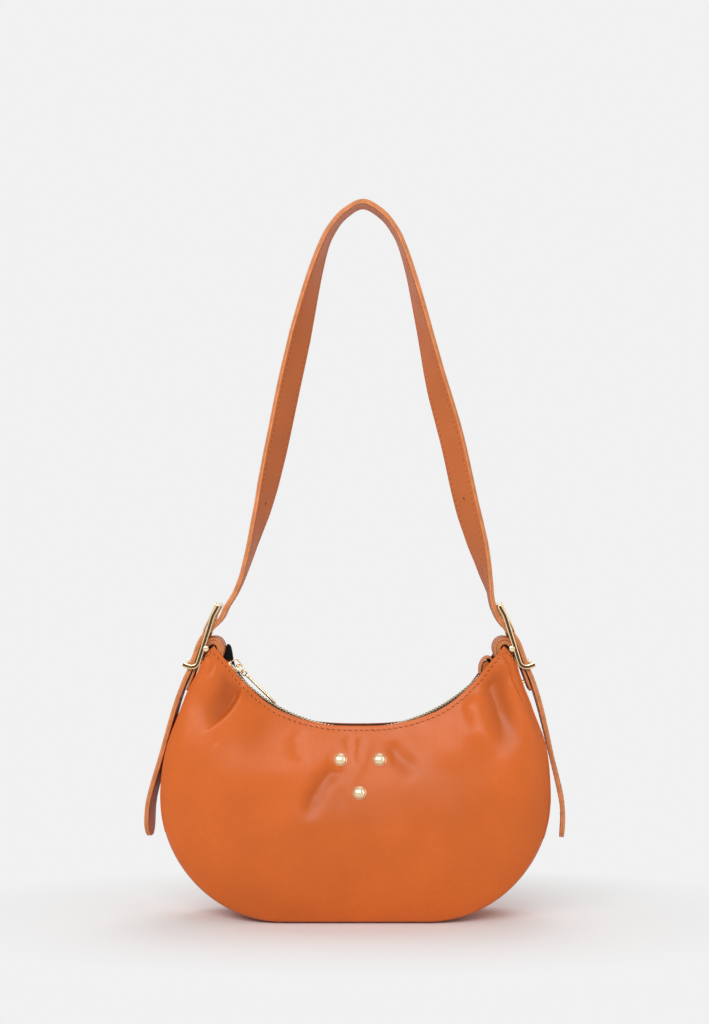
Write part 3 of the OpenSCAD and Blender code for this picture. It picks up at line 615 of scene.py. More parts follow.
def shaded(colour, share):
    """A colour made darker, or lighter where the share is over 1."""
    return [min(1.0, c * share) for c in colour]


# How far the folds' creases take painted shade and their ridges a painted highlight mixed with burnish wear
MOTTLING, CREASE_PAINTED_SHADE, RIDGE_WEAR_AND_PAINTED_HIGHLIGHT, LEATHER_RELIEF = 0.10, 0.55, 0.30, 0.00022


def smooth_leather(name, colour, gloss, grain):
    """Aniline leather: fine grain, slow cloudy colour, painted shade in the creases, and ridges lightened
    partly by burnish wear, partly as painted highlight.
    """
    f = Finish(name, gloss, specular_ior_level=0.22)
    cloud = f.spread(f.noise(16, 4, 0.55), 0.32, 0.68)
    base = f.tint(cloud, shaded(colour, 1 - MOTTLING), shaded(colour, 1 + MOTTLING))
    fleck = f.spread(f.noise(420, 3, 0.6), 0.3, 0.7)
    base = f.tint(f.scaled(fleck, 0.35), base, shaded(colour, 0.86))
    # Painted shade in the folds' creases
    base = f.tint(f.spread(f.mark("crease"), 0, 1, 0, CREASE_PAINTED_SHADE), base, shaded(colour, 0.62))
    # Painted highlight on the folds' ridges, with some burnish wear
    base = f.tint(f.spread(f.mark("ridge"), 0, 1, 0, RIDGE_WEAR_AND_PAINTED_HIGHLIGHT), base, shaded(colour, 1.22))
    f.colour(base)
    rub = f.calc("ADD", f.noise(60, 4), f.scaled(f.noise(900, 2), 0.4))
    f.dull(f.spread(rub, 0.45, 0.95, gloss - 0.06, gloss + 0.08))
    pebble = f.scaled(f.cells(1050), 0.9)
    pore = f.scaled(f.noise(2400, 2, 0.6), 0.5)
    slack = f.scaled(f.noise(210, 3, 0.5), 0.9)
    f.relief(f.calc("ADD", f.calc("ADD", pebble, pore), slack), grain, LEATHER_RELIEF)
    return f.material


def edge_paint(name, colour):
    """Painted and rubbed strap edge."""
    f = Finish(name, 0.42, specular_ior_level=0.25)
    worn = f.spread(f.noise(140, 4, 0.6), 0.35, 0.7)
    f.colour(f.tint(worn, shaded(colour, 0.82), shaded(colour, 1.12)))
    f.dull(f.spread(f.noise(300, 3), 0.3, 0.7, 0.34, 0.52))
    f.relief(f.noise(700, 4, 0.6), 0.15, 0.00015)
    return f.material


def woven_cloth(name, colour, pitch):
    """Plain weave from two crossing waves, with slubs."""
    f = Finish(name, 0.85, sheen_weight=0.04, sheen_roughness=0.5, specular_ior_level=0.15)
    # A wave texture of scale 0.314 has one band in each metre
    scale = 0.314 / (pitch * MM)
    weave = f.calc("ADD", f.wave(scale, "X", 0.4), f.wave(scale, "Z", 0.4))
    slub = f.noise(55, 3)
    shade = f.spread(f.calc("ADD", f.scaled(weave, 0.4), slub), 0.4, 1.2)
    f.colour(f.tint(shade, shaded(colour, 0.55), shaded(colour, 1.7)))
    f.dull(f.spread(slub, 0.3, 0.7, 0.74, 0.9))
    f.relief(weave, 0.6, 0.0002)
    return f.material


def sewing_thread(name, colour):
    """Twisted polyester thread."""
    f = Finish(name, 0.55, sheen_weight=0.08, specular_ior_level=0.2)
    ply = f.wave(700, "DIAGONAL", 1.0)
    f.colour(f.tint(ply, shaded(colour, 0.66), shaded(colour, 1.15)))
    f.dull(f.spread(f.noise(500, 2), 0.3, 0.7, 0.42, 0.6))
    f.relief(ply, 0.6, 0.00015)
    return f.material


def painted_hole_shade(name, colour):
    """Painted shade: a dark disc for the bottom of a needle or buckle hole."""
    f = Finish(name, 0.8, specular_ior_level=0.1)
    f.colour(f.tint(f.noise(600, 3), shaded(colour, 0.5), colour))
    f.relief(f.noise(900, 2), 0.3, 0.0001)
    return f.material


def plated_metal(name, colour, roughness):
    """Pale gold plating with faint rubbing marks."""
    f = Finish(name, roughness, metallic=1.0)
    rub = f.noise(90, 5, 0.65)
    f.colour(f.tint(f.spread(rub, 0.3, 0.7), shaded(colour, 0.93), shaded(colour, 1.06)))
    haze = f.calc("ADD", rub, f.scaled(f.noise(1400, 2), 0.3))
    f.dull(f.spread(haze, 0.4, 0.9, roughness - 0.05, roughness + 0.10))
    f.relief(f.noise(260, 4, 0.55), 0.10, 0.0001)
    return f.material


def finish(name):
    """One of the bag's finishes, made once from the colours in the panel."""
    kind, name = name, "bag_" + name
    known = bpy.data.materials.get(name)
    if known:
        return known
    c = bpy.context.scene.bag_colours
    makers = {
        "body_leather": lambda: smooth_leather(name, c.body, 0.33, 0.07),
        "strap_leather": lambda: smooth_leather(name, c.strap, 0.44, 0.10),
        "strap_edge": lambda: edge_paint(name, c.strap_edge),
        "leather_flesh_in_painted_shade": lambda: edge_paint(name, c.flesh_in_painted_shade),
        "lining_cloth": lambda: woven_cloth(name, c.lining, 0.5),
        "zip_tape_cloth": lambda: woven_cloth(name, c.lining, 0.8),
        "thread": lambda: sewing_thread(name, c.thread),
        "lining_thread": lambda: sewing_thread(name, shaded(c.lining, 1.8)),
        "needle_hole_shade": lambda: painted_hole_shade(name, c.hole),
        "gold": lambda: plated_metal(name, c.metal, 0.11),
        "gold_painted_reflection": lambda: plated_metal(name, c.metal_painted_reflection, 0.3),
        "zip_gold": lambda: plated_metal(name, c.metal, 0.24),
    }
    return makers[kind]()


def mark_points(piece, name, values):
    """Keeps a value for each point of a piece, which its finish can read."""
    attribute = piece.data.attributes.new(name, "FLOAT", "POINT")
    attribute.data.foreach_set("value", np.asarray(values, np.float32))


# Stitching


# Along a stitch: the place, the rise and the width of each of its rings, as shares
STITCH_SHARES = ((-0.5, -0.5, 0.45), (-0.38, 0.25, 0.85), (0, 0.5, 1), (0.38, 0.25, 0.85), (0.5, -0.5, 0.45))
STITCH_SIDES, NEEDLE_SHARE, NEEDLE_R_SHARE, NEEDLE_LIFT = 6, 0.52, 0.68, 0.05


def stitch_run(batch, path, normals, size, slant=7.0, holes=True, first=0, sink=0.0):
    """Separate stitches along a path, each sunk at both ends between its needle holes.

    The size is the pitch, length and thickness; first is the thread's place in the finishes."""
    pitch, length, thick = size
    walked = walked_length(path)
    count = max(1, int(walked[-1] / pitch))
    start = (walked[-1] - (count - 1) * pitch) / 2
    tangent = unit(np.gradient(path, axis=0))
    turn = math.radians(slant)
    around = round_angles(STITCH_SIDES)
    for d in start + np.arange(count) * pitch:
        middle, n, t = (np.array([np.interp(d, walked, rows[:, k]) for k in range(3)])
                        for rows in (path, normals, tangent))
        n = unit(n)
        t = unit(t - n * np.dot(t, n))
        along = t * math.cos(turn) + np.cross(n, t) * math.sin(turn)
        side = np.cross(n, along)
        points = []
        for share, rise, width in STITCH_SHARES:
            ring = middle + along * share * length
            for a in around:
                up = (rise + math.sin(a) * width) * thick / 4 - sink
                points.append(ring + n * up + side * math.cos(a) * width * thick / 2)
        batch.add(points, ring_faces(len(STITCH_SHARES), STITCH_SIDES), first)
        # Dark discs at both needle holes, painted shade
        for end in (-NEEDLE_SHARE, NEEDLE_SHARE) if holes else ():
            hole = middle + along * end * length + n * NEEDLE_LIFT
            rim = [(along * math.cos(a) + side * math.sin(a)) * thick * NEEDLE_R_SHARE for a in around]
            batch.add(hole + rim, [list(range(STITCH_SIDES))], first + 1)


# Shapes of the rest


def at_arc(radius, degrees, along=0.0, across=0.0):
    """A place by the zip's arc, at a radius and an angle, moved to the right and to the front."""
    a = np.radians(degrees)
    return np.stack(np.broadcast_arrays(
        LEAN + radius * np.sin(a) + along * np.cos(a), -across + 0.0 * a,
        MOUTH_Z - radius * np.cos(a) + along * np.sin(a)), -1)


def at_buckle(side, x, y, across=0.0):
    """A place beside a buckle: x out from the bag, y up along the frame."""
    x, y = np.asarray(x, float), np.asarray(y, float)
    c, s = math.cos(BUCKLE_TILT), math.sin(BUCKLE_TILT)
    return np.stack(np.broadcast_arrays(
        LEAN + side * (BAR_X + x * c - y * s), -across + 0.0 * x, BAR_Z + x * s + y * c), -1)


ARCH_SHARES = [(1, 0), (0.957, 0.038), (0.915, 0.087), (0.851, 0.161), (0.787, 0.238), (0.681, 0.395),
               (0.569, 0.549), (0.463, 0.703), (0.378, 0.818), (0.305, 0.895), (0.245, 0.935), (0.149, 0.974),
               (0, 1)]
BEND_RISE, BEND_IN = 5.0, 4.7
CHAPE_OUT = CENTRE_BAR_D / 2 + LAYER_GAP + CHAPE_T / 2
STRAP_OUT_X = CHAPE_OUT + CHAPE_T / 2 + STRAP_T / 2 + 0.85
STRAP_IN_X = TOP_X - TOP_BAR_D / 2 - STRAP_T / 2 - 0.3
TAIL_HINGE = (KEEPER_X - KEEPER_D / 2 - STRAP_T / 2 + LAYER_GAP,
              -BUCKLE_DOWN - KEEPER_D / 2 - STRAP_T / 2 - 2 * LAYER_GAP)
THREAD_SHARES = [(1, 0), (0.88, 0.19), (0.6, 0.39), (0.28, 0.58), (0.09, 0.77), (0, 1)]
STRAP_HINGE_Z = BAR_Z + (BUCKLE_UP + BEND_RISE) * math.cos(BUCKLE_TILT)
ARCH_START_Z = STRAP_HINGE_Z + BEND_RISE
ARCH_HALF_SPAN = BAR_X - (BUCKLE_UP + 2 * BEND_RISE) * math.sin(BUCKLE_TILT) - BEND_IN
ARCH_TOP = APEX_H - STRAP_T / 2
PRONG_Y = 7.0
TAIL_BOW = 2.0
TAIL_SHARES = [(0, 0), (0.5, 0.05), (0.9, 0.22), (1, 0.45), (0.7, 0.65), (-0.1, 0.8), (-1.7, 0.9),
               (-4.1, 1)]


def arch_points():
    """The middle line of the strap's arch, from the right to the left."""
    half = [(ARCH_HALF_SPAN * a, lerp(ARCH_START_Z, ARCH_TOP, b)) for a, b in ARCH_SHARES]
    knots = np.array(half + [(-a, b) for a, b in half[-2::-1]])
    out = []
    for i in range(len(knots) - 1):
        a, b, c, d = knots[max(0, i - 1)], knots[i], knots[i + 1], knots[min(len(knots) - 1, i + 2)]
        for t in np.arange(0, 1, 0.05):
            out.append((2 * b + (c - a) * t + (2 * a - 5 * b + 4 * c - d) * t**2
                        + (3 * b - a - 3 * c + d) * t**3) / 2)
    out.append(knots[-1])
    out = np.array(out)
    drift = LEAN + STRAP_DRIFT * ramp((out[:, 1] - BAR_Z) / (ARCH_START_Z - BAR_Z + BUCKLE_UP))
    return np.stack([out[:, 0] + drift, np.zeros(len(out)), out[:, 1]], 1)


def thread_points(side, low, high):
    """The middle line of the strap inside a buckle, between two heights along its frame."""
    end = TAIL_HINGE[1] + STRAP_T / 2 + 0.3
    knots = [(lerp(STRAP_OUT_X, TAIL_HINGE[0] - LAYER_GAP, t), end * t) for t in (1, 0.75, 0.5, 0.25)]
    knots += [(lerp(STRAP_IN_X, STRAP_OUT_X, a), BUCKLE_UP * b) for a, b in THREAD_SHARES]
    path = smooth_path(knots, 0.5)
    x, y = path[:, 0], path[:, 1]
    low, high = max(low, y[0]), min(high, y[-1])
    y_kept = np.concatenate([[low], y[(y > low + 0.1) & (y < high - 0.1)], [high]])
    return at_buckle(side, np.interp(y_kept, y, x), y_kept)


def thinned(points, step):
    """Every few of the points, with the last one kept."""
    return np.concatenate([points[:-step:step], points[-1:]])


def tail_points(side):
    """The middle line of a free tail, from its hinge down."""
    knots = [(TAIL_HINGE[0] + TAIL_BOW * a, TAIL_HINGE[1] - TAIL_L * b) for a, b in TAIL_SHARES]
    path = smooth_path(knots, 1.0)
    turn = -side * math.atan2(LEAN, TAIL_L)
    dx, dy = path[:, 0] - TAIL_HINGE[0], path[:, 1] - TAIL_HINGE[1]
    x = TAIL_HINGE[0] + dx * math.cos(turn) - dy * math.sin(turn)
    y = TAIL_HINGE[1] + dx * math.sin(turn) + dy * math.cos(turn)
    return at_buckle(side, x, y)


def band_frames(path, twist, front_out=1.0):
    """Across and inward directions of a flat band; twist turns its front edge outwards."""
    tangent = unit(np.gradient(path, axis=0))
    inward = np.stack([-tangent[:, 2], np.zeros(len(path)), tangent[:, 0]], 1) * front_out
    s, c = np.sin(twist)[:, None], np.cos(twist)[:, None]
    y = np.array([0.0, 1.0, 0.0])
    return inward * s + y * c, inward * c - y * s


# A band's columns: how far in its edge's are and how far they droop, then the middle ones
EDGE_IN, EDGE_DROOP, FLAT_IN, FLAT_COLUMNS = (0, 0.22, 0.6), (0.42, 0.13, 0.0), 2.2, 11
MIDDLE_COLUMNS, MIDDLE_END, MIDDLE_CLEAR = (-2.0, -1.0, 0.0, 1.0, 2.0), 2.1, 2.4
SPLIT_DROOP_SHARE = 0.15
FACE_FINISH, EDGE_FINISH, THREAD_FINISH, CLOTH_FINISH = 0, 1, 2, 4


def band_mesh(batch, path, across, inward, width, depths, holes=(), slots=(), narrow=None):
    """One leather layer between two depths, with rounded edges, round holes and slots.

    Holes are places along the path; slots are (from, to, half width). narrow scales the width."""
    low, high = depths
    half = width / 2
    flat = np.linspace(-half + FLAT_IN, half - FLAT_IN, FLAT_COLUMNS).round(2)
    us = {*MIDDLE_COLUMNS, *flat, *(side * (half - d) for d in EDGE_IN for side in (-1, 1))}
    us = np.array([u for u in sorted(us) if abs(u) < MIDDLE_END or abs(u) > MIDDLE_CLEAR])
    droop = np.interp(half - np.abs(us), EDGE_IN, EDGE_DROOP)
    n, m = len(path), len(us)
    walked = walked_length(path)
    narrow = np.ones(n) if narrow is None else narrow
    removed = np.zeros((n - 1, m - 1), bool)
    u_grid = us[None, :] * narrow[:, None]
    w_grid = np.repeat(walked[:, None], m, 1)
    k0 = int(np.argmin(np.abs(us)))
    for place in holes:
        i0 = int(np.argmin(np.abs(walked - place)))
        removed[i0 - 2:i0 + 2, k0 - 2:k0 + 2] = True
        for i in range(i0 - 2, i0 + 3):
            for k in range(k0 - 2, k0 + 3):
                if max(abs(i - i0), abs(k - k0)) == 2:
                    a = math.atan2(us[k], walked[i] - walked[i0])
                    u_grid[i, k] = HOLE_D / 2 * math.sin(a)
                    w_grid[i, k] = walked[i0] + HOLE_D / 2 * math.cos(a)
    for start, end, slot_half in slots:
        rows = np.nonzero((walked[:-1] >= start) & (walked[1:] <= end))[0]
        columns = np.nonzero((us[:-1] >= -slot_half - 0.01) & (us[1:] <= slot_half + 0.01))[0]
        removed[np.ix_(rows, columns)] = True
    place = np.stack([np.interp(w_grid, walked, path[:, k]) for k in range(3)], -1)
    side = np.stack([np.interp(w_grid, walked, across[:, k]) for k in range(3)], -1)
    deep = np.stack([np.interp(w_grid, walked, inward[:, k]) for k in range(3)], -1)
    base = place + side * u_grid[..., None]
    top = base + deep * (low + droop * (SPLIT_DROOP_SHARE if low > 0 else 1))[None, :, None]
    bottom = base + deep * (high - droop * (SPLIT_DROOP_SHARE if high < 0 else 1))[None, :, None]
    points = np.concatenate([top.reshape(-1, 3), bottom.reshape(-1, 3)])
    faces, finish_of, edges = [], [], {}
    for i in range(n - 1):
        for k in range(m - 1):
            if removed[i, k]:
                continue
            a, b, c, d = i * m + k, i * m + k + 1, (i + 1) * m + k + 1, (i + 1) * m + k
            faces += [[a, b, c, d], [n * m + d, n * m + c, n * m + b, n * m + a]]
            finish_of += [FACE_FINISH if 0 < k < m - 2 else EDGE_FINISH] * 2
            for e in ((a, b), (b, c), (c, d), (d, a)):
                if edges.pop(e[::-1], None) is None:
                    edges[e] = True
    # What is left is the rim of the layer and of its holes
    for a, b in edges:
        faces.append([b, a, n * m + a, n * m + b])
        finish_of.append(EDGE_FINISH)
    offset = batch.count
    batch.points.append(points)
    batch.faces += [[i + offset for i in f] for f in faces]
    batch.finish += finish_of
    batch.count += len(points)


def turned(profile, start, end, sides=28):
    """A lathed form from one place towards another; its profile is (distance along it, radius)."""
    start, end = np.asarray(start, float), np.asarray(end, float)
    axis = end - start
    length = np.linalg.norm(axis)
    axis = axis / length
    a = unit(np.cross(axis, [0.3, 0.5, 0.81]))
    b = np.cross(axis, a)
    points = []
    for d, radius in profile:
        for k in range(sides):
            t = 2 * math.pi * k / sides
            points.append(start + axis * d + (a * math.cos(t) + b * math.sin(t)) * radius)
    return points, ring_faces(len(profile), sides)


def domed_bar(length, radius, edge):
    """Profile of a bar with rounded ends."""
    arc = [(edge - edge * math.cos(a), radius - edge + edge * math.sin(a))
           for a in np.linspace(0, math.pi / 2, 5)]
    return arc + [(length - d, r) for d, r in arc[::-1]]


# What can be set


def colour_setting(label, text, rgb):
    return FloatVectorProperty(name=label, description=text, subtype="COLOR", size=3, min=0, max=1,
                               default=linear(*rgb))


def length_setting(label, text, mm, low, high):
    return FloatProperty(name=label, description=text, default=mm * MM, min=low * MM, max=high * MM,
                         unit="LENGTH", subtype="DISTANCE")


class BagColours(bpy.types.PropertyGroup):
    """Colours of the bag's leather, cloth, thread and metal"""

    body: colour_setting("Body leather", "Smooth leather of the panels and the gusset", (204, 99, 37))
    strap: colour_setting("Strap leather", "Face of the strap, the tails and the chapes", (194, 106, 56))
    strap_edge: colour_setting("Strap edge", "Painted edge of the strap leather", (212, 134, 84))
    # The inner side's dark brown is its own colour deepened with painted shade, where it shows inside the
    # mouth
    flesh_in_painted_shade: colour_setting("Leather's inner side", "Raw inner side of the body leather", (104, 60, 38))
    lining: colour_setting("Lining", "Black cloth of the lining and the zip tapes", (17, 15, 16))
    thread: colour_setting("Thread", "Topstitching thread", (222, 122, 62))
    hole: colour_setting("Needle holes", "Shade in the needle holes", (146, 66, 28))
    metal: colour_setting("Metal", "Pale gold plating", (238, 215, 176))
    # The darker metal in the buckle rails' channels is a painted dark reflection
    metal_painted_reflection: colour_setting("Metal in its channels", "Dark plating in the buckle rails", (96, 68, 38))


class BagSizes(bpy.types.PropertyGroup):
    """Sizes of the bag's sewing and softness"""

    fold_share: FloatProperty(name="Folds", description="Depth of the leather's folds, as a share",
                              default=1.0, min=0.0, max=1.2, subtype="FACTOR")
    stitch_pitch: length_setting("Stitch pitch", "From one stitch to the next", 4.1, 2.5, 6)
    stitch_length: length_setting("Stitch length", "Thread seen between two needle holes", 2.8, 1.5, 4)
    stitch_thick: length_setting("Thread thickness", "Thickness of the topstitching thread", 0.8, 0.3, 1)
    mouth_inset: length_setting("Mouth stitch inset", "Topstitch below the mouth edge", 2.6, 1.5, 5)
    strap_inset: length_setting("Strap stitch inset", "Stitching in from the strap's edge", 2.9, 2, 5)


def sewing(thick_share=1.0):
    """Pitch, length and thickness of the topstitching, in millimetres."""
    sizes = bpy.context.scene.bag_sizes
    return sizes.stitch_pitch / MM, sizes.stitch_length / MM, sizes.stitch_thick / MM * thick_share


# Stage, in metres and watts: each lamp's place, aim, size and power
LAMPS = (((-0.45, -1.35, 1.02), (0, 0, 0.16), (1.75, 0.42), 18.3),
         ((1.3, -0.8, 0.6), (0, 0, 0.25), (0.8, 1.2), 2.2),
         ((0.2, 0.9, 1.5), (0, 0, 0.25), (1.2, 1.2), 8.0))
CAMERA_PLACE, CAMERA_LENS, CAMERA_SENSOR = (-0.0007, -1.2, 0.296), 57.4, 36.0
SKY_COLOUR, SKY_STRENGTH, BACKDROP = (1.0, 0.99, 0.98, 1), 0.42, (*linear(241, 241, 241), 1)
FLOOR_HALF, FLOOR_STRETCH, SHADOW_NEAR, SHADOW_FAR = 3000, (0.45, 1, 1), 0.05, 0.16


class StageOperator(bpy.types.Operator):
    """Sets up the pale floor, the backdrop, the lights and the camera"""

    bl_idname = "bag.stage"
    bl_label = "Stage"

    def execute(self, context):
        scene = context.scene
        scene.view_settings.view_transform = "Standard"
        self.backdrop(scene)
        self.floor()
        for place, aim, size, power in LAMPS:
            self.lamp(place, aim, size, power)
        camera = bpy.data.objects.new("camera", bpy.data.cameras.new("camera"))
        camera.data.lens, camera.data.sensor_width = CAMERA_LENS, CAMERA_SENSOR
        camera.location, camera.rotation_euler = CAMERA_PLACE, (math.radians(90), 0, 0)
        scene.collection.objects.link(camera)
        scene.camera = camera
        return {"FINISHED"}

    def backdrop(self, scene):
        """A plain backdrop for the camera and for what mirrors it, and a soft light for the rest."""
        world = scene.world or bpy.data.worlds.new("backdrop")
        scene.world = world
        world.use_nodes = True
        tree = world.node_tree
        tree.nodes.clear()
        ray = tree.nodes.new("ShaderNodeLightPath")
        seen = None
        for name in ("Is Camera Ray", "Is Glossy Ray", "Is Transmission Ray"):
            if seen is None:
                seen = ray.outputs[name]
                continue
            both = tree.nodes.new("ShaderNodeMath")
            both.operation = "MAXIMUM"
            tree.links.new(seen, both.inputs[0])
            tree.links.new(ray.outputs[name], both.inputs[1])
            seen = both.outputs[0]
        light, plain = tree.nodes.new("ShaderNodeBackground"), tree.nodes.new("ShaderNodeBackground")
        light.inputs["Color"].default_value = SKY_COLOUR
        light.inputs["Strength"].default_value = SKY_STRENGTH
        plain.inputs["Color"].default_value = BACKDROP
        mix, out = tree.nodes.new("ShaderNodeMixShader"), tree.nodes.new("ShaderNodeOutputWorld")
        tree.links.new(seen, mix.inputs[0])
        tree.links.new(light.outputs[0], mix.inputs[1])
        tree.links.new(plain.outputs[0], mix.inputs[2])
        tree.links.new(mix.outputs[0], out.inputs[0])

    def floor(self):
        """The floor takes the bag's shadow, and fades into the backdrop away from it."""
        corners = [(x * FLOOR_HALF, y * FLOOR_HALF, 0) for x, y in ((-1, -1), (1, -1), (1, 1), (-1, 1))]
        piece = make_piece("floor", corners, [(0, 1, 2, 3)], [])
        f = Finish("floor", 0.9, base_color=BACKDROP, specular_ior_level=0.0)
        inputs = {0: f.place, 1: FLOOR_STRETCH}
        flat = f.node("ShaderNodeVectorMath", inputs, operation="MULTIPLY").outputs["Vector"]
        away = f.node("ShaderNodeVectorMath", {0: flat}, operation="LENGTH").outputs["Value"]
        fade = f.spread(away, SHADOW_NEAR, SHADOW_FAR)
        plain = f.node("ShaderNodeEmission", {"Color": BACKDROP})
        ray = f.node("ShaderNodeLightPath").outputs["Is Camera Ray"]
        mix = f.node("ShaderNodeMixShader", {0: f.calc("MULTIPLY", fade, ray), 1: f.shader.outputs[0],
                                             2: plain.outputs[0]})
        f.tree.links.new(mix.outputs[0], f.tree.nodes["Material Output"].inputs["Surface"])
        piece.data.materials.append(f.material)

    def lamp(self, place, aim, size, power):
        data = bpy.data.lights.new("studio_light", "AREA")
        data.shape, data.energy = "RECTANGLE", power
        data.size, data.size_y = size
        lamp = bpy.data.objects.new("studio_light", data)
        lamp.location = place
        lamp.rotation_euler = (Vector(aim) - Vector(place)).to_track_quat("-Z", "Y").to_euler()
        bpy.context.scene.collection.objects.link(lamp)


# The body


FRONT, BACK = -1, 1
BODY_CRISP, CREASE_DEPTH, RIDGE_HEIGHT = 55, 3.2, 2.6
# Rows of a panel's inner side, beside the seam, that look like its outer side
SEAM_ROWS = 18
GUSSET_COLS, GUSSET_ROWS, GUSSET_SWELL, GUSSET_SHAKE, GUSSET_SEED = 300, 28, 1.3, 0.22, 5
SWELL_LOW, SWELL_RISE, SWELL_FALL, SHAKE_RISE, SHAKE_EDGE = 8, 50, 30, 40, 6
STITCH_COLS, HORN_STITCH_COLS, HORN_STITCH_L, HORN_STITCH_START = 500, 12, 11.5, 0.05
# Each panel's folds, and the seed of its unevenness
PANELS = {FRONT: (FRONT_FOLDS, 11), BACK: (BACK_FOLDS, 23)}
FACES = {}


def panel_face(side):
    """The face of the front or back panel and its folds' lift."""
    folds, seed = PANELS[side]
    key = (side, bpy.context.scene.bag_sizes.fold_share)
    if key not in FACES:
        for old in [k for k in FACES if k[0] == side]:
            del FACES[old]
        face, lift = panel_grid(folds, seed, side == FRONT)
        FACES[key] = face * np.array([1, -side, 1]), lift
    return FACES[key]


def outward(face, side):
    """Normals of a panel's face, out of the bag."""
    return surface_normal(face * np.array([1, -side, 1])) * np.array([1, -side, 1])


class PanelsOperator(bpy.types.Operator):
    """Builds the front and back leather panels with their folds"""

    bl_idname = "bag.panels"
    bl_label = "Leather panels"

    def execute(self, context):
        for side, name in ((FRONT, "front_panel"), (BACK, "back_panel")):
            face, lift = panel_face(side)
            points, faces, kept = sheet_mesh(face, LEATHER_T, outward(face, side))
            # Strips run from the face over the rim to the inner side; the two end caps come last
            rows = face.shape[1]
            around = 2 * rows + RIM_STEPS
            first, last = rows + RIM_STEPS // 2, around - SEAM_ROWS
            inside = [first < k % around < last for k in range(len(faces) - 2)] + [False, False]
            finishes = [finish("body_leather"), finish("leather_flesh_in_painted_shade")]
            piece = make_piece(name + "_leather", points, faces, finishes, inside)
            sharpen(piece, BODY_CRISP)
            # The folds' lift sets where the leather takes painted shade in creases and a painted highlight,
            # with burnish wear, on ridges
            for mark, share in (("crease", -lift / CREASE_DEPTH), ("ridge", lift / RIDGE_HEIGHT)):
                values = np.zeros(len(points))
                values[kept] = np.clip(share, 0, 1).reshape(-1)
                mark_points(piece, mark, values)
            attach(piece, "bag")
            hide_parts(name)
        return {"FINISHED"}


class GussetOperator(bpy.types.Operator):
    """Builds the gusset strip round both sides and the base"""

    bl_idname = "bag.gusset"
    bl_label = "Gusset"

    def execute(self, context):
        s, v = spread_grid(np.linspace(-1, 1, GUSSET_COLS + 1), np.linspace(-1, 1, GUSSET_ROWS + 1))
        v = np.sin(v * math.pi / 2)
        x, z = outline_point(s)
        half = seam_half(z)
        out = -seam_inward(s)
        edge = (1 - np.abs(v)) * half
        swell = GUSSET_SWELL * (1 - v**2) * ramp((z - SWELL_LOW) / SWELL_RISE)
        swell = swell * ramp((HORN_H - z) / SWELL_FALL)
        uneven = shake(z, v * half, GUSSET_SEED, GUSSET_SHAKE)
        swell = swell + uneven * ramp(z / SHAKE_RISE) * ramp(edge / SHAKE_EDGE)
        tuck = seam_tuck(edge, z)
        face = np.stack([x, v * half, z], -1) + out * (swell - tuck)[..., None]
        points, faces = sheet_mesh(face, LEATHER_T, out, False)[:2]
        piece = make_piece("gusset_leather", points, faces, [finish("body_leather")])
        sharpen(piece, BODY_CRISP)
        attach(piece, "bag")
        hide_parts("gusset")
        return {"FINISHED"}


class MouthStitchingOperator(bpy.types.Operator):
    """Sews the topstitch along the mouth and down the horns' cut edges"""

    bl_idname = "bag.mouth_stitching"
    bl_label = "Mouth stitching"

    def execute(self, context):
        inset = context.scene.bag_sizes.mouth_inset / MM
        # The run climbs one horn's cut edge, follows the mouth and goes down the other horn
        rise = np.linspace(HORN_STITCH_START, 1, HORN_STITCH_COLS)
        turn = 1 - inset / HORN_STITCH_L
        at_horn = 1 - inset / lerp(OUTLINE_LEN, MOUTH_R * MOUTH_HALF_ANGLE, rise * turn)
        along = np.linspace(-at_horn[-1], at_horn[-1], STITCH_COLS)
        ox, oz = outline_point(along)
        mx, mz = mouth_point(along)
        s = np.concatenate([-at_horn[:-1], along, at_horn[-2::-1]])
        up = 1 - inset / np.hypot(ox - mx, oz - mz)
        t = np.concatenate([rise[:-1] * turn, up, rise[-2::-1] * turn])
        batch = Batch()
        for side in (FRONT, BACK):
            face = panel_face(side)[0]
            normals = unit(on_grid(outward(face, side), s, t))
            stitch_run(batch, on_grid(face, s, t), normals, sewing())
        piece = batch.piece("mouth_stitches", [finish("thread"), finish("needle_hole_shade")], "body_leather")
        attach(piece, "bag")
        return {"FINISHED"}


LINING_SHARE, LINING_INSET, LINING_DROP, LINING_T = 0.93, 2.4, 10.5, 0.6
LINING_BEHIND = LEATHER_T + 2 * LAYER_GAP
LINING_COLS, LINING_ROWS, LINING_GUSSET_COLS, LINING_GUSSET_ROWS = 160, 40, 220, 14
LINING_FOLD_SHARE, LINING_SHAKE, LINING_SEED, LINING_CALM_SHARE = 1.25, 0.5, 31, 0.1
POCKET_HALF_SHARE, POCKET_LOW_SHARE, POCKET_HIGH_SHARE, HEM_SHARE = 0.26, 0.3, 0.78, 0.045
POCKET_COLS, POCKET_ROWS, HEM_ROWS, HEM_T = 60, 30, 6, 0.5
POCKET_STITCH, POCKET_SLANT = (3.0, 2.2, 0.4), 4


def lining_face(side, s, t, behind):
    """A sheet of lining that follows the panel's folds inwards."""
    p = sheet_point(s, t, LINING_DROP, LINING_INSET, behind)
    lift = np.minimum(folds_at(p, s, PANELS[side][0])[0] * LINING_FOLD_SHARE, 0)
    lift = lift - ramp(-lift / 2)
    uneven = shake(p[..., 0], p[..., 2], LINING_SEED + side, LINING_SHAKE)
    slack = np.minimum(uneven - LINING_SHAKE, 0)
    slack = slack * ramp(t / LINING_CALM_SHARE) * ramp((1 - t) / LINING_CALM_SHARE)
    p = p + surface_normal(p) * (lift + slack)[..., None]
    return p * np.array([1, -side, 1])


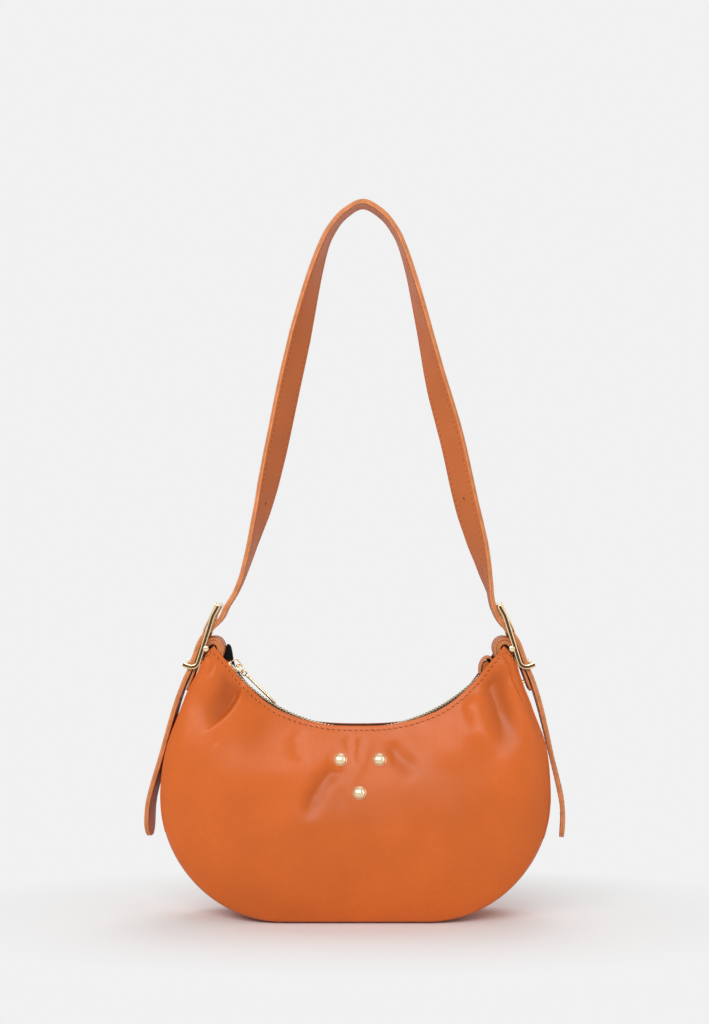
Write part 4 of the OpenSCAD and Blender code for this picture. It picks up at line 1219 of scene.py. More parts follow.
class LiningOperator(bpy.types.Operator):
    """Builds the cloth lining and the slip pocket"""

    bl_idname = "bag.lining"
    bl_label = "Lining and pocket"

    def execute(self, context):
        width = np.linspace(-1, 1, LINING_COLS + 1) * LINING_SHARE
        for side, name in ((FRONT, "lining_front"), (BACK, "lining_back")):
            s, t = spread_grid(width, np.linspace(0, 1, LINING_ROWS + 1))
            face = lining_face(side, s, t, LINING_BEHIND)
            self.cloth_piece(name, face, outward(face, side))
        self.pocket()
        s, v = spread_grid(np.linspace(-1, 1, LINING_GUSSET_COLS + 1) * LINING_SHARE,
                           np.linspace(-1, 1, LINING_GUSSET_ROWS + 1))
        x, z = outline_point(s, LEATHER_T + LAYER_GAP)
        face = np.stack([x, v * (seam_half(z) - LINING_INSET), z], -1)
        self.cloth_piece("lining_gusset", face, -seam_inward(s))
        return {"FINISHED"}

    def pocket(self):
        """The slip pocket on the back lining, sewn down its sides, below, and along its hem."""
        width = np.linspace(-POCKET_HALF_SHARE, POCKET_HALF_SHARE, POCKET_COLS + 1)
        s, t = spread_grid(width, np.linspace(POCKET_LOW_SHARE, POCKET_HIGH_SHARE, POCKET_ROWS + 1))
        behind = LINING_BEHIND + LINING_T + 2 * LAYER_GAP
        face = lining_face(BACK, s, t, behind)
        normal = outward(face, BACK)
        pocket = Batch()
        pocket.add(*sheet_mesh(face, LINING_T, normal)[:2])
        s, t = spread_grid(width, np.linspace(-HEM_SHARE, 0, HEM_ROWS + 1))
        hem = lining_face(BACK, s, POCKET_HIGH_SHARE + t, behind + LINING_T)
        pocket.add(*sheet_mesh(hem, HEM_T, outward(hem, BACK))[:2])
        inside = -normal
        for run in ((2, slice(None)), (-3, slice(None)), (slice(None), 2), (slice(None), -4)):
            line = face[run] + inside[run] * (LINING_T + HEM_T)
            stitch_run(pocket, line, inside[run], POCKET_STITCH, POCKET_SLANT, False, 1)
        finishes = [finish("lining_cloth"), finish("lining_thread")]
        piece = pocket.piece("slip_pocket", finishes, "lining_fabric")
        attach(piece, "bag")
        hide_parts("inner_pocket")

    def cloth_piece(self, name, face, normal):
        points, faces = sheet_mesh(face, LINING_T, normal)[:2]
        piece = make_piece(name + "_cloth", points, faces, [finish("lining_cloth")])
        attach(piece, "bag")
        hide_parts(name)


# The zip


TAPE_IN, TAPE_OUT, TAPE_T, SKIRT_H = 3.0, 10.8, 0.5, 6.0
TAPE_STEP_DEG, TAPE_PAST_DEG, TAPE_COLUMNS, TAPE_DEPTH, TAPE_CLEAR, TAPE_CRISP = 0.5, 2.5, 9, 13.0, 0.3, 60
# The spare cloth at the tapes' ends: how high it stands, its place and its width in degrees
LEFT_SPARE, RIGHT_SPARE = (8.4, -54.0, 4.0), (8.8, 54.6, 2.2)
SPARE_IN, SPARE_FADE, LEFT_SPARE_LEAN, RIGHT_SPARE_LEAN = 4.9, 2.6, -0.4, 0.25
TOOTH_PITCH, TOOTH_H, TOOTH_L, TOOTH_W, SLIT = 2.6, 2.4, 1.3, 2.3, 1.2
TOOTH_END, TOOTH_FLAT_SHARE, TOOTH_ROUND, ZIP_CRISP = SLIT / 2 + TOOTH_W, 0.55, 0.3, 35
# From a tooth's nose to its heel: the place and the scale of each ring, as shares
TOOTH_SHARES = ((0, 0.55), (0.08, 0.85), (0.3, 1.0), (0.48, 0.95), (0.6, 0.7), (0.74, 0.95), (0.94, 1.0),
                (1, 0.75))
STOP_L = 3.0
STOP_DEG = math.degrees(STOP_L / ZIP_R)
# The end tab: its fold from the top side round to the under side, and the zip inside it,
# each as (out from the zip's arc, degrees along it)
TAB_ROUTE = [(2.0, 50.8), (-0.4, 53.8), (-2.9, 54.4), (-5.2, 53.9), (-6.3, 52.2), (-5.2, 50.0), (-1.9, 47.9)]
TAB_INSIDE = [(1.5, 50.2), (-1.8, 51.3), (-4.5, 52.0)]
TAB_W, TAB_T, TAB_STEP, TAB_STITCH_IN, TAB_STITCH, TAB_SLANT = 12.0, 1.6, 0.6, 4.2, (3.4, 2.3, 0.55), 5
TAB_CORE_W, TAB_CORE_START, TAB_CORE_END = 10.0, 9.0, 4.4
SLIDER_L, PLATE_T, BAIL_WIRE, BAIL_HOLE = 11.0, 1.0, 1.2, 3.4
RING_R, RING_WIRE, RING_ROLL, EYE_R, EYE_WIRE, BAR_L, BAR_LIFT = 3.4, 1.3, 35.0, 2.2, 1.2, 33.0, 9.0
PLAY, PLATE_BEVEL, PLATE_ROUND = 0.3, 0.35, 0.1
WEB_L, WEB_T, WEB_SUNK = 3.6, 0.6, 0.4
TOP_R = ZIP_R - TOOTH_H / 2 - PLAY
LOW_R = ZIP_R + TOOTH_H / 2 + PLAY
RING_HOLE_R = TOP_R - PLATE_T - PLAY - BAIL_HOLE + RING_WIRE / 2
PULL_ALONG = SLIDER_L / 3 - BAIL_WIRE - RING_WIRE / 2 - PLAY
# One half of the slider's plate, seen from above, and the notch at its front
SHIELD_HALF, SHIELD_NOTCH = [(-5.5, 2.6), (-3.6, 4.1), (0.5, 4.5), (4.2, 4.3), (5.5, 2.2)], (4.9, 0)
BAIL_FOOT = [(0, 0.9), (0.5, 1.0), (0.9, 0.7)]
BAIL_FOOT_SUNK, BAIL_FOOT_OUT = 0.15, 0.85
METAL_CRISP, PULL_STEPS = 40, 56
# The pull bar's neck and shaft from the eye on: (along it, radius), and its rounded end
BAR_NECK = [(0, 0.7), (0.8, 0.85), (1.6, 1.1), (2.2, 1.15), (2.6, 0.95), (4, 0.98)]
BAR_END_R, BAR_SHAFT_R, BAR_SHAFT_END, EYE_PLAY, BAR_OVERLAP = 1.1, 1.05, 6.0, 0.15, 0.2
FAR = 99.0


def spare_cloth(degrees, height, middle, width):
    """How high the spare cloth of a tape stands at a place on the zip's arc."""
    return height * math.exp(-(((degrees - middle) / width) ** 2))


class ZipTapesOperator(bpy.types.Operator):
    """Builds the two cloth tapes of the zip, with their puckered ends"""

    bl_idname = "bag.zip_tapes"
    bl_label = "Zip tapes"

    def execute(self, context):
        angles = np.arange(-TAPE_DEG - TAPE_PAST_DEG, TAPE_DEG + 0.01, TAPE_STEP_DEG)
        top = [(a, -TAPE_T / 2) for a in np.linspace(TAPE_IN, TAPE_OUT, TAPE_COLUMNS)]
        skirt = [(TAPE_OUT, SKIRT_H), (TAPE_OUT - TAPE_T, SKIRT_H)]
        low = [(a, TAPE_T / 2) for a in np.linspace(TAPE_OUT - TAPE_T, TAPE_IN, TAPE_COLUMNS)]
        section = np.array(top + skirt + low)
        for side, name in ((FRONT, "zip_tape_front"), (BACK, "zip_tape_back")):
            # The tape is no wider than the room that the folded leather leaves it
            face = panel_face(side)[0]
            shares = np.linspace(-1, 1, len(face))
            to_edge = np.hypot(face[..., 0] - face[:, -1:, 0], face[..., 2] - face[:, -1:, 2])
            room = np.where(to_edge < TAPE_DEPTH, np.abs(face[..., 1]), FAR).min(1) - LEATHER_T - TAPE_CLEAR
            # The spare cloth at both ends stands up behind the slider and the end tab
            free = (side == BACK) * ramp((section[:, 0] - SPARE_IN) / SPARE_FADE) * (section[:, 1] < 1)
            rows = []
            for a in angles:
                left, right = spare_cloth(a, *LEFT_SPARE), spare_cloth(a, *RIGHT_SPARE)
                across = np.minimum(section[:, 0], np.interp(a / MOUTH_DEG, shares, room))
                radius = ZIP_R + section[:, 1] - (left + right) * free
                lean = (RIGHT_SPARE_LEAN * right + LEFT_SPARE_LEAN * left) * free
                rows.append(at_arc(radius, a + lean, 0.0, -side * across))
            points = np.concatenate(rows)
            piece = make_piece(name + "_cloth", points, ring_faces(len(angles), len(section)),
                               [finish("zip_tape_cloth")])
            sharpen(piece, TAPE_CRISP)
            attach(piece, "bag")
            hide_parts(name)
        return {"FINISHED"}


def tooth(degrees, side, wide=TOOTH_L, inner=SLIT / 2):
    """A cast tooth: a rounded nose, a neck and a clamp on the tape."""
    points = []
    for share, scale in TOOTH_SHARES:
        tall = TOOTH_H * lerp(TOOTH_FLAT_SHARE, 1, scale)
        ring = rounded_box(wide * scale, tall, TOOTH_ROUND * scale, 2)
        for along, radial in ring:
            points.append(at_arc(ZIP_R + radial, degrees, along, -side * lerp(inner, TOOTH_END, share)))
    return points, ring_faces(len(TOOTH_SHARES), len(ring))


class ZipTeethOperator(bpy.types.Operator):
    """Casts the teeth, the stops and the end box of the zip"""

    bl_idname = "bag.zip_teeth"
    bl_label = "Zip teeth and stops"

    def execute(self, context):
        step = math.degrees(TOOTH_PITCH / ZIP_R)
        count = int(2 * ZIP_DEG / step)
        for side, shift, name in ((FRONT, 0, "zip_teeth_front"), (BACK, 0.5, "zip_teeth_back")):
            row = Batch()
            for i in range(count):
                row.add(*tooth(-ZIP_DEG + (i + shift) * step, side))
            self.metal_piece(row, name)
        stops = Batch()
        for side in (FRONT, BACK):
            stops.add(*tooth(-ZIP_DEG - 2 * STOP_DEG, side, STOP_L))
        stops.add(*tooth(ZIP_DEG + STOP_DEG, FRONT, STOP_L, -TOOTH_END))
        self.metal_piece(stops, "zip_stops")
        return {"FINISHED"}

    def metal_piece(self, batch, name):
        piece = batch.piece(name + "_metal", [finish("zip_gold")], "gold_metal")
        sharpen(piece, ZIP_CRISP)
        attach(piece, "bag")
        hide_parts(name)


class ZipEndTabOperator(bpy.types.Operator):
    """Folds the leather tab over the end of the zip"""

    bl_idname = "bag.zip_end_tab"
    bl_label = "Zip end tab"

    def execute(self, context):
        path = smooth_path([at_arc(ZIP_R + r, a) for r, a in TAB_ROUTE], TAB_STEP)
        across, inward = band_frames(path, np.zeros(len(path)))
        tab = Batch()
        band_mesh(tab, path, across, inward, TAB_W, (-TAB_T / 2, TAB_T / 2))
        inside = smooth_path([at_arc(ZIP_R + r, a) for r, a in TAB_INSIDE], TAB_STEP)
        section = np.repeat(rounded_box(TAB_CORE_W, 1.0, 0.4, 3)[None], len(inside), 0)
        section[..., 1] *= np.linspace(TAB_CORE_START, TAB_CORE_END, len(inside))[:, None]
        tab.add(*sweep(inside, section, (0, 1, 0)))
        sewn = slice(6, -6)
        for u in (-TAB_STITCH_IN, TAB_STITCH_IN):
            line = path[sewn] + across[sewn] * u + inward[sewn] * TAB_T / 2
            stitch_run(tab, line, inward[sewn], TAB_STITCH, TAB_SLANT, True, THREAD_FINISH)
        piece = tab.piece("zip_end_tab_leather", strap_finishes(), "strap_leather")
        sharpen(piece, STRAP_CRISP)
        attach(piece, "bag")
        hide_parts("zip_end_tab")
        return {"FINISHED"}


def plate(radius, thick, outline):
    """A flat plate bent round the zip's arc, with softened edges: (along, across) its outline."""
    outline = np.asarray(outline, float)
    tangent = unit(np.roll(outline, -1, axis=0) - np.roll(outline, 1, axis=0))
    inward = np.stack([-tangent[:, 1], tangent[:, 0]], 1)
    bevel = [(PLATE_BEVEL, 0), (PLATE_ROUND, PLATE_ROUND), (0, PLATE_BEVEL)]
    rings = bevel + [(inset, thick - height) for inset, height in bevel[::-1]]
    points = []
    for inset, height in rings:
        for along, across in outline + inward * inset:
            points.append(at_arc(radius + height, math.degrees(along / ZIP_R) - SLIDER_DEG, 0.0, across))
    return points, ring_faces(len(rings), len(outline))


def wire(batch, places, thick, sides=12, closed=False):
    """A round wire through places in space."""
    batch.add(*sweep(places, circle(thick / 2, sides), (0.31, 0.9, 0.3), closed))


def pull_place(x, y, z):
    """A place on the pull, as it hangs rolled in the slider's bail."""
    roll = math.radians(RING_ROLL)
    radius = RING_HOLE_R + x * math.cos(roll) + z * math.sin(roll)
    return at_arc(radius, -SLIDER_DEG, PULL_ALONG + y, -x * math.sin(roll) + z * math.cos(roll))


def on_bar(x, y):
    """A place on the pull bar: out of it and along it, from the far side of the ring."""
    lift = math.radians(BAR_LIFT)
    return pull_place(x * math.cos(lift) - y * math.sin(lift),
                      2 * RING_R + x * math.sin(lift) + y * math.cos(lift), 0.0)


class ZipPullOperator(bpy.types.Operator):
    """Builds the slider, the pull ring and the pull bar"""

    bl_idname = "bag.zip_pull"
    bl_label = "Slider and pull"

    def execute(self, context):
        self.slider()
        self.ring()
        self.bar()
        return {"FINISHED"}

    def slider(self):
        """Two plates joined by a web that runs between the rows of teeth, and the bail on top."""
        slider = Batch()
        half = SHIELD_HALF
        closed = [(half[0][0], -half[0][1])] + half + [SHIELD_NOTCH] + [(x, -y) for x, y in half[::-1]]
        shield = smooth_path(closed, 0.7)[:-1]
        slider.add(*plate(TOP_R - PLATE_T, PLATE_T, shield))
        slider.add(*plate(LOW_R, PLATE_T, shield))
        web = [(a * WEB_L / 2, b * WEB_T / 2) for a, b in ((-1, -1), (-1, 1), (1, 1), (1, -1))]
        web = [at_arc(r, -SLIDER_DEG, along, across)
               for r in (TOP_R - WEB_SUNK, LOW_R + WEB_SUNK) for along, across in web]
        slider.add(web, ring_faces(2, 4))
        foot, top = TOP_R - PLATE_T / 2, RING_HOLE_R - BAIL_HOLE / 2 - BAIL_WIRE / 2
        reach = SLIDER_L / 3 - BAIL_WIRE / 2
        arm = [(top, 0), (top, reach - 1.4), (top + 0.4, reach - 0.5), (foot - 2.4, reach), (foot, reach)]
        bail = smooth_path([(r, -along) for r, along in arm[:0:-1]] + arm, 0.3)
        wire(slider, [at_arc(r, -SLIDER_DEG, along) for r, along in bail], BAIL_WIRE)
        for along in (-reach, reach):
            low, high = (at_arc(TOP_R - PLATE_T + rise, -SLIDER_DEG, along)
                         for rise in (BAIL_FOOT_SUNK, -BAIL_FOOT_OUT))
            slider.add(*turned(BAIL_FOOT, low, high, 16))
        self.metal_piece(slider, "zip_slider_metal", "zip_slider", "zip_slider")

    def ring(self):
        places = [pull_place(0, RING_R + RING_R * math.cos(a), RING_R * math.sin(a))
                  for a in round_angles(PULL_STEPS)]
        ring = Batch()
        wire(ring, places, RING_WIRE, 14, True)
        self.metal_piece(ring, "pull_ring_metal", "pull_ring", "pull_ring")

    def bar(self):
        """The bar hangs in the ring by a round eye."""
        eye = EYE_R - EYE_WIRE / 2 - RING_WIRE / 2 - EYE_PLAY
        places = [on_bar(EYE_R * math.sin(a), eye + EYE_R * math.cos(a)) for a in round_angles(PULL_STEPS)]
        bar = Batch()
        wire(bar, places, EYE_WIRE, 12, True)
        start, length = eye + EYE_R - BAR_OVERLAP, BAR_L - eye - EYE_R + BAR_OVERLAP
        profile = BAR_NECK + [(length - BAR_SHAFT_END, BAR_SHAFT_R)]
        profile += [(length - BAR_END_R + BAR_END_R * math.sin(a), BAR_END_R * math.cos(a))
                    for a in np.linspace(0, 1.45, 7)]
        bar.add(*turned(profile, on_bar(0, start), on_bar(0, start + length)))
        self.metal_piece(bar, "pull_bar_metal", "pull_bar", "pull_bar")

    def metal_piece(self, batch, name, node, body):
        piece = batch.piece(name, [finish("gold")], "gold_metal")
        sharpen(piece, METAL_CRISP)
        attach(piece, body)
        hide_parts(node)


# A stud's cap from its post up to its rim, and its dome; a washer. Each is (height, radius)
STUD_CAP = [(-1.9, 1.2), (0.05, 1.2), (0.05, 4.5), (0.15, 4.8), (0.4, 4.9), (0.65, 4.8), (0.75, 4.6)]
DOME_LOW, DOME_H, DOME_R = 0.75, 2.7, 4.45
WASHER = [(-2.9, 1.0), (-2.9, 2.8), (-2.7, 3.0), (-2.2, 3.0), (-2.0, 2.8), (-2.0, 1.0)]


class StudsOperator(bpy.types.Operator):
    """Sets the three domed studs and the washers behind them"""

    bl_idname = "bag.studs"
    bl_label = "Studs"

    def execute(self, context):
        caps, backs = Batch(), Batch()
        dome = [(DOME_LOW + DOME_H * math.sin(k), DOME_R * math.cos(k)) for k in np.linspace(0.04, 1.53, 14)]
        for s, t in STUD_SHARES:
            at, beside, above = (sheet_point(np.array(s + a), np.array(t + b))
                                 for a, b in ((0, 0), (0.01, 0), (0, 0.01)))
            n = unit(np.cross(beside - at, above - at))
            n = n if n[1] < 0 else -n
            caps.add(*turned(STUD_CAP + dome, at, at + n, 48))
            backs.add(*turned(WASHER, at, at + n, 32))
        for batch, name in ((caps, "stud_caps"), (backs, "stud_backs")):
            piece = batch.piece(name + "_metal", [finish("gold")], "gold_metal")
            sharpen(piece, METAL_CRISP)
            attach(piece, "bag")
            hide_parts(name)
        return {"FINISHED"}


# Chapes, buckles and prongs


SIDES = ((LEFT, "left"), (RIGHT, "right"))
ARCH_HALF, ARCH_RISE, CHAPE_DROP = 7.4, 8.3, 5.0
STRAP_CRISP, STRAP_THREAD_SHARE, STRAP_SLANT, STITCH_SINK = 50, 0.75, 6, 0.05
CHAPE_STEP, CHAPE_ROUND, CHAPE_END_SHARE, CHAPE_STITCH_IN = 0.8, 5.0, 0.32, 2.8
CHAPE_SEWN_FROM, CHAPE_SEWN_SHORT = 2.5, 2
CHAPE_DEPTHS = ((-CHAPE_T / 2, -0.015), (0.015, CHAPE_T / 2))
# Where the prong and its eye come through the chape, and half the slot's width
SLOT_LOW, SLOT_HIGH, SLOT_HALF = -3.5, 7.0, 2.0
# The second layer inside the arch, and below it a dark cloth hump: the folded end of the lining, and also
# painted shade that fills the gap under the arch
LINED_LOW, LINED_W, LINED_DEPTHS = -6, CHAPE_W - 2, (1.0, 4.2)
HUMP_ROUTE = ((-2.6, -9), (-3.2, -1), (-4.4, 4.0), (-7.0, 4.6), (-9.0, 0), (-9.8, -7))
HUMP_W, HUMP_T, HUMP_ROUND = CHAPE_W - 3, 3.0, 1.0


def strap_finishes():
    return [finish("strap_leather"), finish("strap_edge"), finish("thread"), finish("needle_hole_shade")]


def strap_stitches(batch, line, normals):
    """A run of the finer stitching on the chapes and the strap."""
    size = sewing(STRAP_THREAD_SHARE)
    stitch_run(batch, line, normals, size, STRAP_SLANT, True, THREAD_FINISH, STITCH_SINK)


class ChapesOperator(bpy.types.Operator):
    """Builds the leather chapes that carry the buckles, with their sewing"""

    bl_idname = "bag.chapes"
    bl_label = "Chapes"

    def execute(self, context):
        knots = [(CHAPE_OUT + CHAPE_SPLAY, -CHAPE_LEG), (CHAPE_OUT + CHAPE_SPLAY * 0.55, -CHAPE_LEG * 0.6),
                 (CHAPE_OUT, -CHAPE_LEG * 0.25)]
        knots += [(CHAPE_OUT - ARCH_HALF + ARCH_HALF * math.cos(a), ARCH_RISE * math.sin(a))
                  for a in np.radians(np.arange(0, 181, 15))]
        knots += [(CHAPE_OUT - 2 * ARCH_HALF, -CHAPE_DROP)]
        flat = smooth_path(knots, CHAPE_STEP)
        x, y = flat.T
        walked = walked_length(flat)
        outer = (x > CHAPE_OUT - ARCH_HALF) & (y > SLOT_LOW) & (y < SLOT_HIGH)
        slot = (walked[outer].min(), walked[outer].max(), SLOT_HALF)
        # The corners of the outer leg's end are rounded
        end = np.clip(walked / CHAPE_ROUND, 0, 1)
        narrow = 1 - CHAPE_END_SHARE * (1 - np.sqrt(1 - (1 - end) ** 2))
        lined = slice(int(np.argmax(y > LINED_LOW)), None)
        sewn = (walked > CHAPE_SEWN_FROM) & (walked < walked[-1] - CHAPE_SEWN_SHORT)
        for side, word in SIDES:
            path = at_buckle(side, x, y)
            across, inward = band_frames(path, np.zeros(len(path)), side)
            chape = Batch()
            for depths in CHAPE_DEPTHS:
                band_mesh(chape, path, across, inward, CHAPE_W, depths, (), (slot,), narrow)
            band_mesh(chape, path[lined], across[lined], inward[lined], LINED_W, LINED_DEPTHS)
            # Dark cloth hump: partly the lining's folded end, partly painted shade under the arch
            hump = smooth_path([at_buckle(side, *place) for place in HUMP_ROUTE], CHAPE_STEP)
            chape.add(*sweep(hump, rounded_box(HUMP_W, HUMP_T, HUMP_ROUND, 3), (0, 1, 0)), CLOTH_FINISH)
            for u in (-1, 1):
                line = path + across * u * (CHAPE_W / 2 - CHAPE_STITCH_IN)
                for face in (-1, 1):
                    strap_stitches(chape, (line + inward * face * CHAPE_T / 2)[sewn], (inward * face)[sewn])
            finishes = strap_finishes() + [finish("lining_cloth")]
            piece = chape.piece(word + "_chape_leather", finishes, "strap_leather")
            sharpen(piece, STRAP_CRISP)
            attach(piece, "bag")
            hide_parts(word + "_chape")
        return {"FINISHED"}


# A rivet's inner head as (along it, radius), its post, and its domed outer head
INNER_HEAD = [(0, 1.6), (0.05, 3.1), (0.3, 3.5), (0.6, 3.4)]
POST_R, OUTER_HEAD_R, OUTER_RIM_R, OUTER_RIM, OUTER_DOME, INNER_HEAD_IN = 1.3, 3.4, 3.5, 0.2, 0.55, 1.1
RIVET_SHARE = 0.8


class RivetsOperator(bpy.types.Operator):
    """Sets the rivets through chape, gusset and lining"""

    bl_idname = "bag.rivets"
    bl_label = "Chape rivets"

    def execute(self, context):
        y = -RIVET_SHARE * CHAPE_LEG
        out = CHAPE_OUT + CHAPE_T / 2 + LAYER_GAP + CHAPE_SPLAY * (RIVET_SHARE - 0.25) / 0.75
        for side, word in SIDES:
            low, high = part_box(word + "_chape_rivet")
            # The node's innermost X gives the inner head; its tilt is the buckle's
            reach = (low[0] if side == RIGHT else high[0]) / MM
            inner = side * (reach - LEAN) - BAR_X + y * math.sin(BUCKLE_TILT)
            inner = inner / math.cos(BUCKLE_TILT) + INNER_HEAD_IN
            length = out - inner
            rim = length + OUTER_RIM
            profile = INNER_HEAD + [(INNER_HEAD[-1][0], POST_R), (length, POST_R), (length, OUTER_HEAD_R)]
            profile += [(rim, OUTER_RIM_R)]
            profile += [(rim + OUTER_DOME * math.sin(k), OUTER_HEAD_R * math.cos(k))
                        for k in np.linspace(0.2, 1.5, 7)]
            rivet = Batch()
            rivet.add(*turned(profile, at_buckle(side, inner, y), at_buckle(side, inner + 1, y), 36))
            piece = rivet.piece(word + "_chape_rivet_metal", [finish("gold")], "gold_metal")
            sharpen(piece, METAL_CRISP)
            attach(piece, "bag")
            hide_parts(word + "_chape_rivet")
        return {"FINISHED"}


RAIL_ROUND, CHANNEL_DEEP, CHANNEL_HALF, CHANNEL_LIP, CHANNEL_SLOPE = 0.7, 0.4, 0.85, 0.1, 0.4
BAR_SHORT, BAR_ROUND = 0.7, 0.4
KNOB_R, KNOB_DOME, KNOB_OUT = 2.1, 0.5, 0.6


def channelled_rail(batch, path, out):
    """A rail with a rolled channel along its outer face; out is the side that face looks to."""
    half_w, half_t = RAIL_W / 2, RAIL_T / 2
    corner = [(half_w + RAIL_ROUND * (math.cos(a) - 1), half_t + RAIL_ROUND * (math.sin(a) - 1))
              for a in np.linspace(0, math.pi / 2, 5)]
    channel = [(half_w - CHANNEL_DEEP, CHANNEL_HALF - CHANNEL_SLOPE),
               (half_w - CHANNEL_DEEP + CHANNEL_LIP, CHANNEL_HALF - CHANNEL_LIP), (half_w, CHANNEL_HALF)]
    top = channel + corner + [(-x, y) for x, y in corner[::-1]]
    section = np.array(top + [(x, -y) for x, y in top[::-1]]) * np.array([out, 1])
    points, faces = sweep(path, section, (0, 1, 0))
    # The channel's own faces are the first and the last two of each round; they take the darker metal, a
    # painted dark reflection
    count = len(section)
    painted_reflection_faces = {count - 2, count - 1, 0, 1}
    start = len(batch.finish)
    batch.add(points, faces)
    for i in range(len(faces) - 2):
        if i % count in painted_reflection_faces:
            batch.finish[start + i] = 1


class BuckleFramesOperator(bpy.types.Operator):
    """Builds the two gold buckle frames with their curled feet"""

    bl_idname = "bag.buckle_frames"
    bl_label = "Buckle frames"

    def execute(self, context):
        low_bend = BUCKLE_UP - 2 * RAIL_T
        knots = [(TOP_X - 0.2, BUCKLE_UP + 1.2), (TOP_X, BUCKLE_UP),
                 (lerp(TOP_X, RAIL_X, 0.6), BUCKLE_UP - 1.2 * RAIL_T), (RAIL_X, low_bend)]
        knots += [(RAIL_X, lerp(low_bend, BEND_R - BUCKLE_DOWN, k)) for k in (0.25, 0.5, 0.75)]
        knots += [(RAIL_X + BEND_R + BEND_R * math.cos(a), -BUCKLE_DOWN + BEND_R + BEND_R * math.sin(a))
                  for a in np.radians(np.arange(180, 271, 15))]
        knots += [(KEEPER_X, -BUCKLE_DOWN), (KEEPER_X + 2.0, -BUCKLE_DOWN + 0.3)]
        x, y = smooth_path(knots, 0.6).T
        reach = RAIL_Y + RAIL_W / 2
        half = reach - BAR_SHORT
        bars = ((TOP_X, BUCKLE_UP, TOP_BAR_D), (0, 0, CENTRE_BAR_D), (KEEPER_X, -BUCKLE_DOWN, KEEPER_D))
        knob = [(KNOB_DOME * (1 - math.cos(k)), KNOB_R * math.sin(k)) for k in np.linspace(0.15, 1.57, 7)]
        knob += [(RAIL_W, KNOB_R)]
        for side, word in SIDES:
            buckle = Batch()
            for end in (-1, 1):
                channelled_rail(buckle, at_buckle(side, x, y, end * RAIL_Y), -end)
            for bar_x, bar_y, d in bars:
                start, end = at_buckle(side, bar_x, bar_y, -half), at_buckle(side, bar_x, bar_y, half)
                buckle.add(*turned(domed_bar(2 * half, d / 2, BAR_ROUND), start, end))
            # Riveted ends of the centre bar
            for end in (-1, 1):
                outside = at_buckle(side, 0, 0, end * (reach + KNOB_OUT))
                buckle.add(*turned(knob, outside, at_buckle(side, 0, 0, 0)))
            piece = buckle.piece(word + "_buckle_metal", [finish("gold"), finish("gold_painted_reflection")], "gold_metal")
            sharpen(piece, METAL_CRISP)
            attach(piece, "bag")
            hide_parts(word + "_buckle_frame")
        return {"FINISHED"}


# A prong's curve from its eye to its tip, as (out, up) from the centre bar
PRONG_ROUTE = [(2.4, 1.3), (3.6, 4.0), (5.0, 6.2), (6.0, 8.6), (6.4, 11.0), (6.0, 14.5), (5.2, 19.5),
               (4.5, 25.0), (4.05, 30.0), (3.95, 33.2)]
PRONG_W, PRONG_T, PRONG_ROUND, EYE_RING_R, EYE_RING_T, EYE_ROUND = 2.8, 1.7, 0.75, 2.75, 1.4, 0.5
# A prong's taper and its rounded tip: (what is lost of its section, from which share of its length)
PRONG_TAPER, PRONG_TIP = (0.22, 0.6), (0.45, 0.965)


class ProngsOperator(bpy.types.Operator):
    """Builds the buckle prongs, each with its eye round the centre bar"""

    bl_idname = "bag.prongs"
    bl_label = "Buckle prongs"

    def execute(self, context):
        flat = smooth_path(PRONG_ROUTE, 0.6)
        share = np.linspace(0, 1, len(flat))
        losses = [lost * ramp((share - start) / (1 - start)) for lost, start in (PRONG_TAPER, PRONG_TIP)]
        taper = 1 - sum(losses)
        section = rounded_box(PRONG_W, PRONG_T, PRONG_ROUND, 4)[None] * taper[:, None, None]
        ring = circle(EYE_RING_R, 36)
        for side, word in SIDES:
            prong = Batch()
            prong.add(*sweep(at_buckle(side, *flat.T), section, (0, 1, 0)))
            eye = rounded_box(PRONG_W, EYE_RING_T, EYE_ROUND, 3)
            prong.add(*sweep(at_buckle(side, *ring.T), eye, (0, 1, 0), True))
            piece = prong.piece(word + "_prong_metal", [finish("gold")], "gold_metal")
            sharpen(piece, METAL_CRISP)
            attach(piece, word + "_prong")
            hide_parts(word + "_buckle_prong")
        return {"FINISHED"}


# The strap


SPLIT_Y = 27.0
STRAP_SHIFT = 1.6
PLY_GAP, SHIFT_LOW, SHIFT_RISE, SHIFT_HIGH, SHIFT_FALL = 0.02, 226, 20, 340, 60
# How far the strap turns its front edge outwards: (share of the way up, degrees)
LEFT_TWIST = [(0, 0), (0.05, 2), (0.125, 9), (0.2, 20), (0.28, 29), (0.36, 33), (0.5, 34.5), (0.58, 34),
              (0.66, 32), (0.74, 25), (0.82, 17), (0.9, 8), (1, 0)]
RIGHT_TWIST = [(0, 0), (0.05, 12), (0.125, 27), (0.2, 34.5), (0.28, 36.5), (0.43, 36), (0.51, 33),
               (0.58, 26.5), (0.66, 19), (0.74, 13.5), (0.82, 7), (0.9, 2.5), (1, 0)]
# Each tail's turn and how far its lower part hangs in towards the bag
TAILS = {LEFT: (5.5, 3.1), RIGHT: (-6.5, 2.6)}
TAIL_ROUND, TAIL_END_SHARE, TAIL_SEWN_SHORT, TAIL_TURN_OVER = 12.5, 0.03, 12, 110
TAIL_TOP_IN, TAIL_TOP_OVER, TAIL_LOW_FROM, TAIL_LOW_OVER = 0.3, 12, 18, 60
END_SHIFT_LOW, END_SHIFT_RISE = 12, 12
# The slot that the prong goes through, from the first prong hole down and up
PRONG_SLOT_DOWN, PRONG_SLOT_UP, PRONG_SLOT_HALF = 3.5, 8.0, 2.0


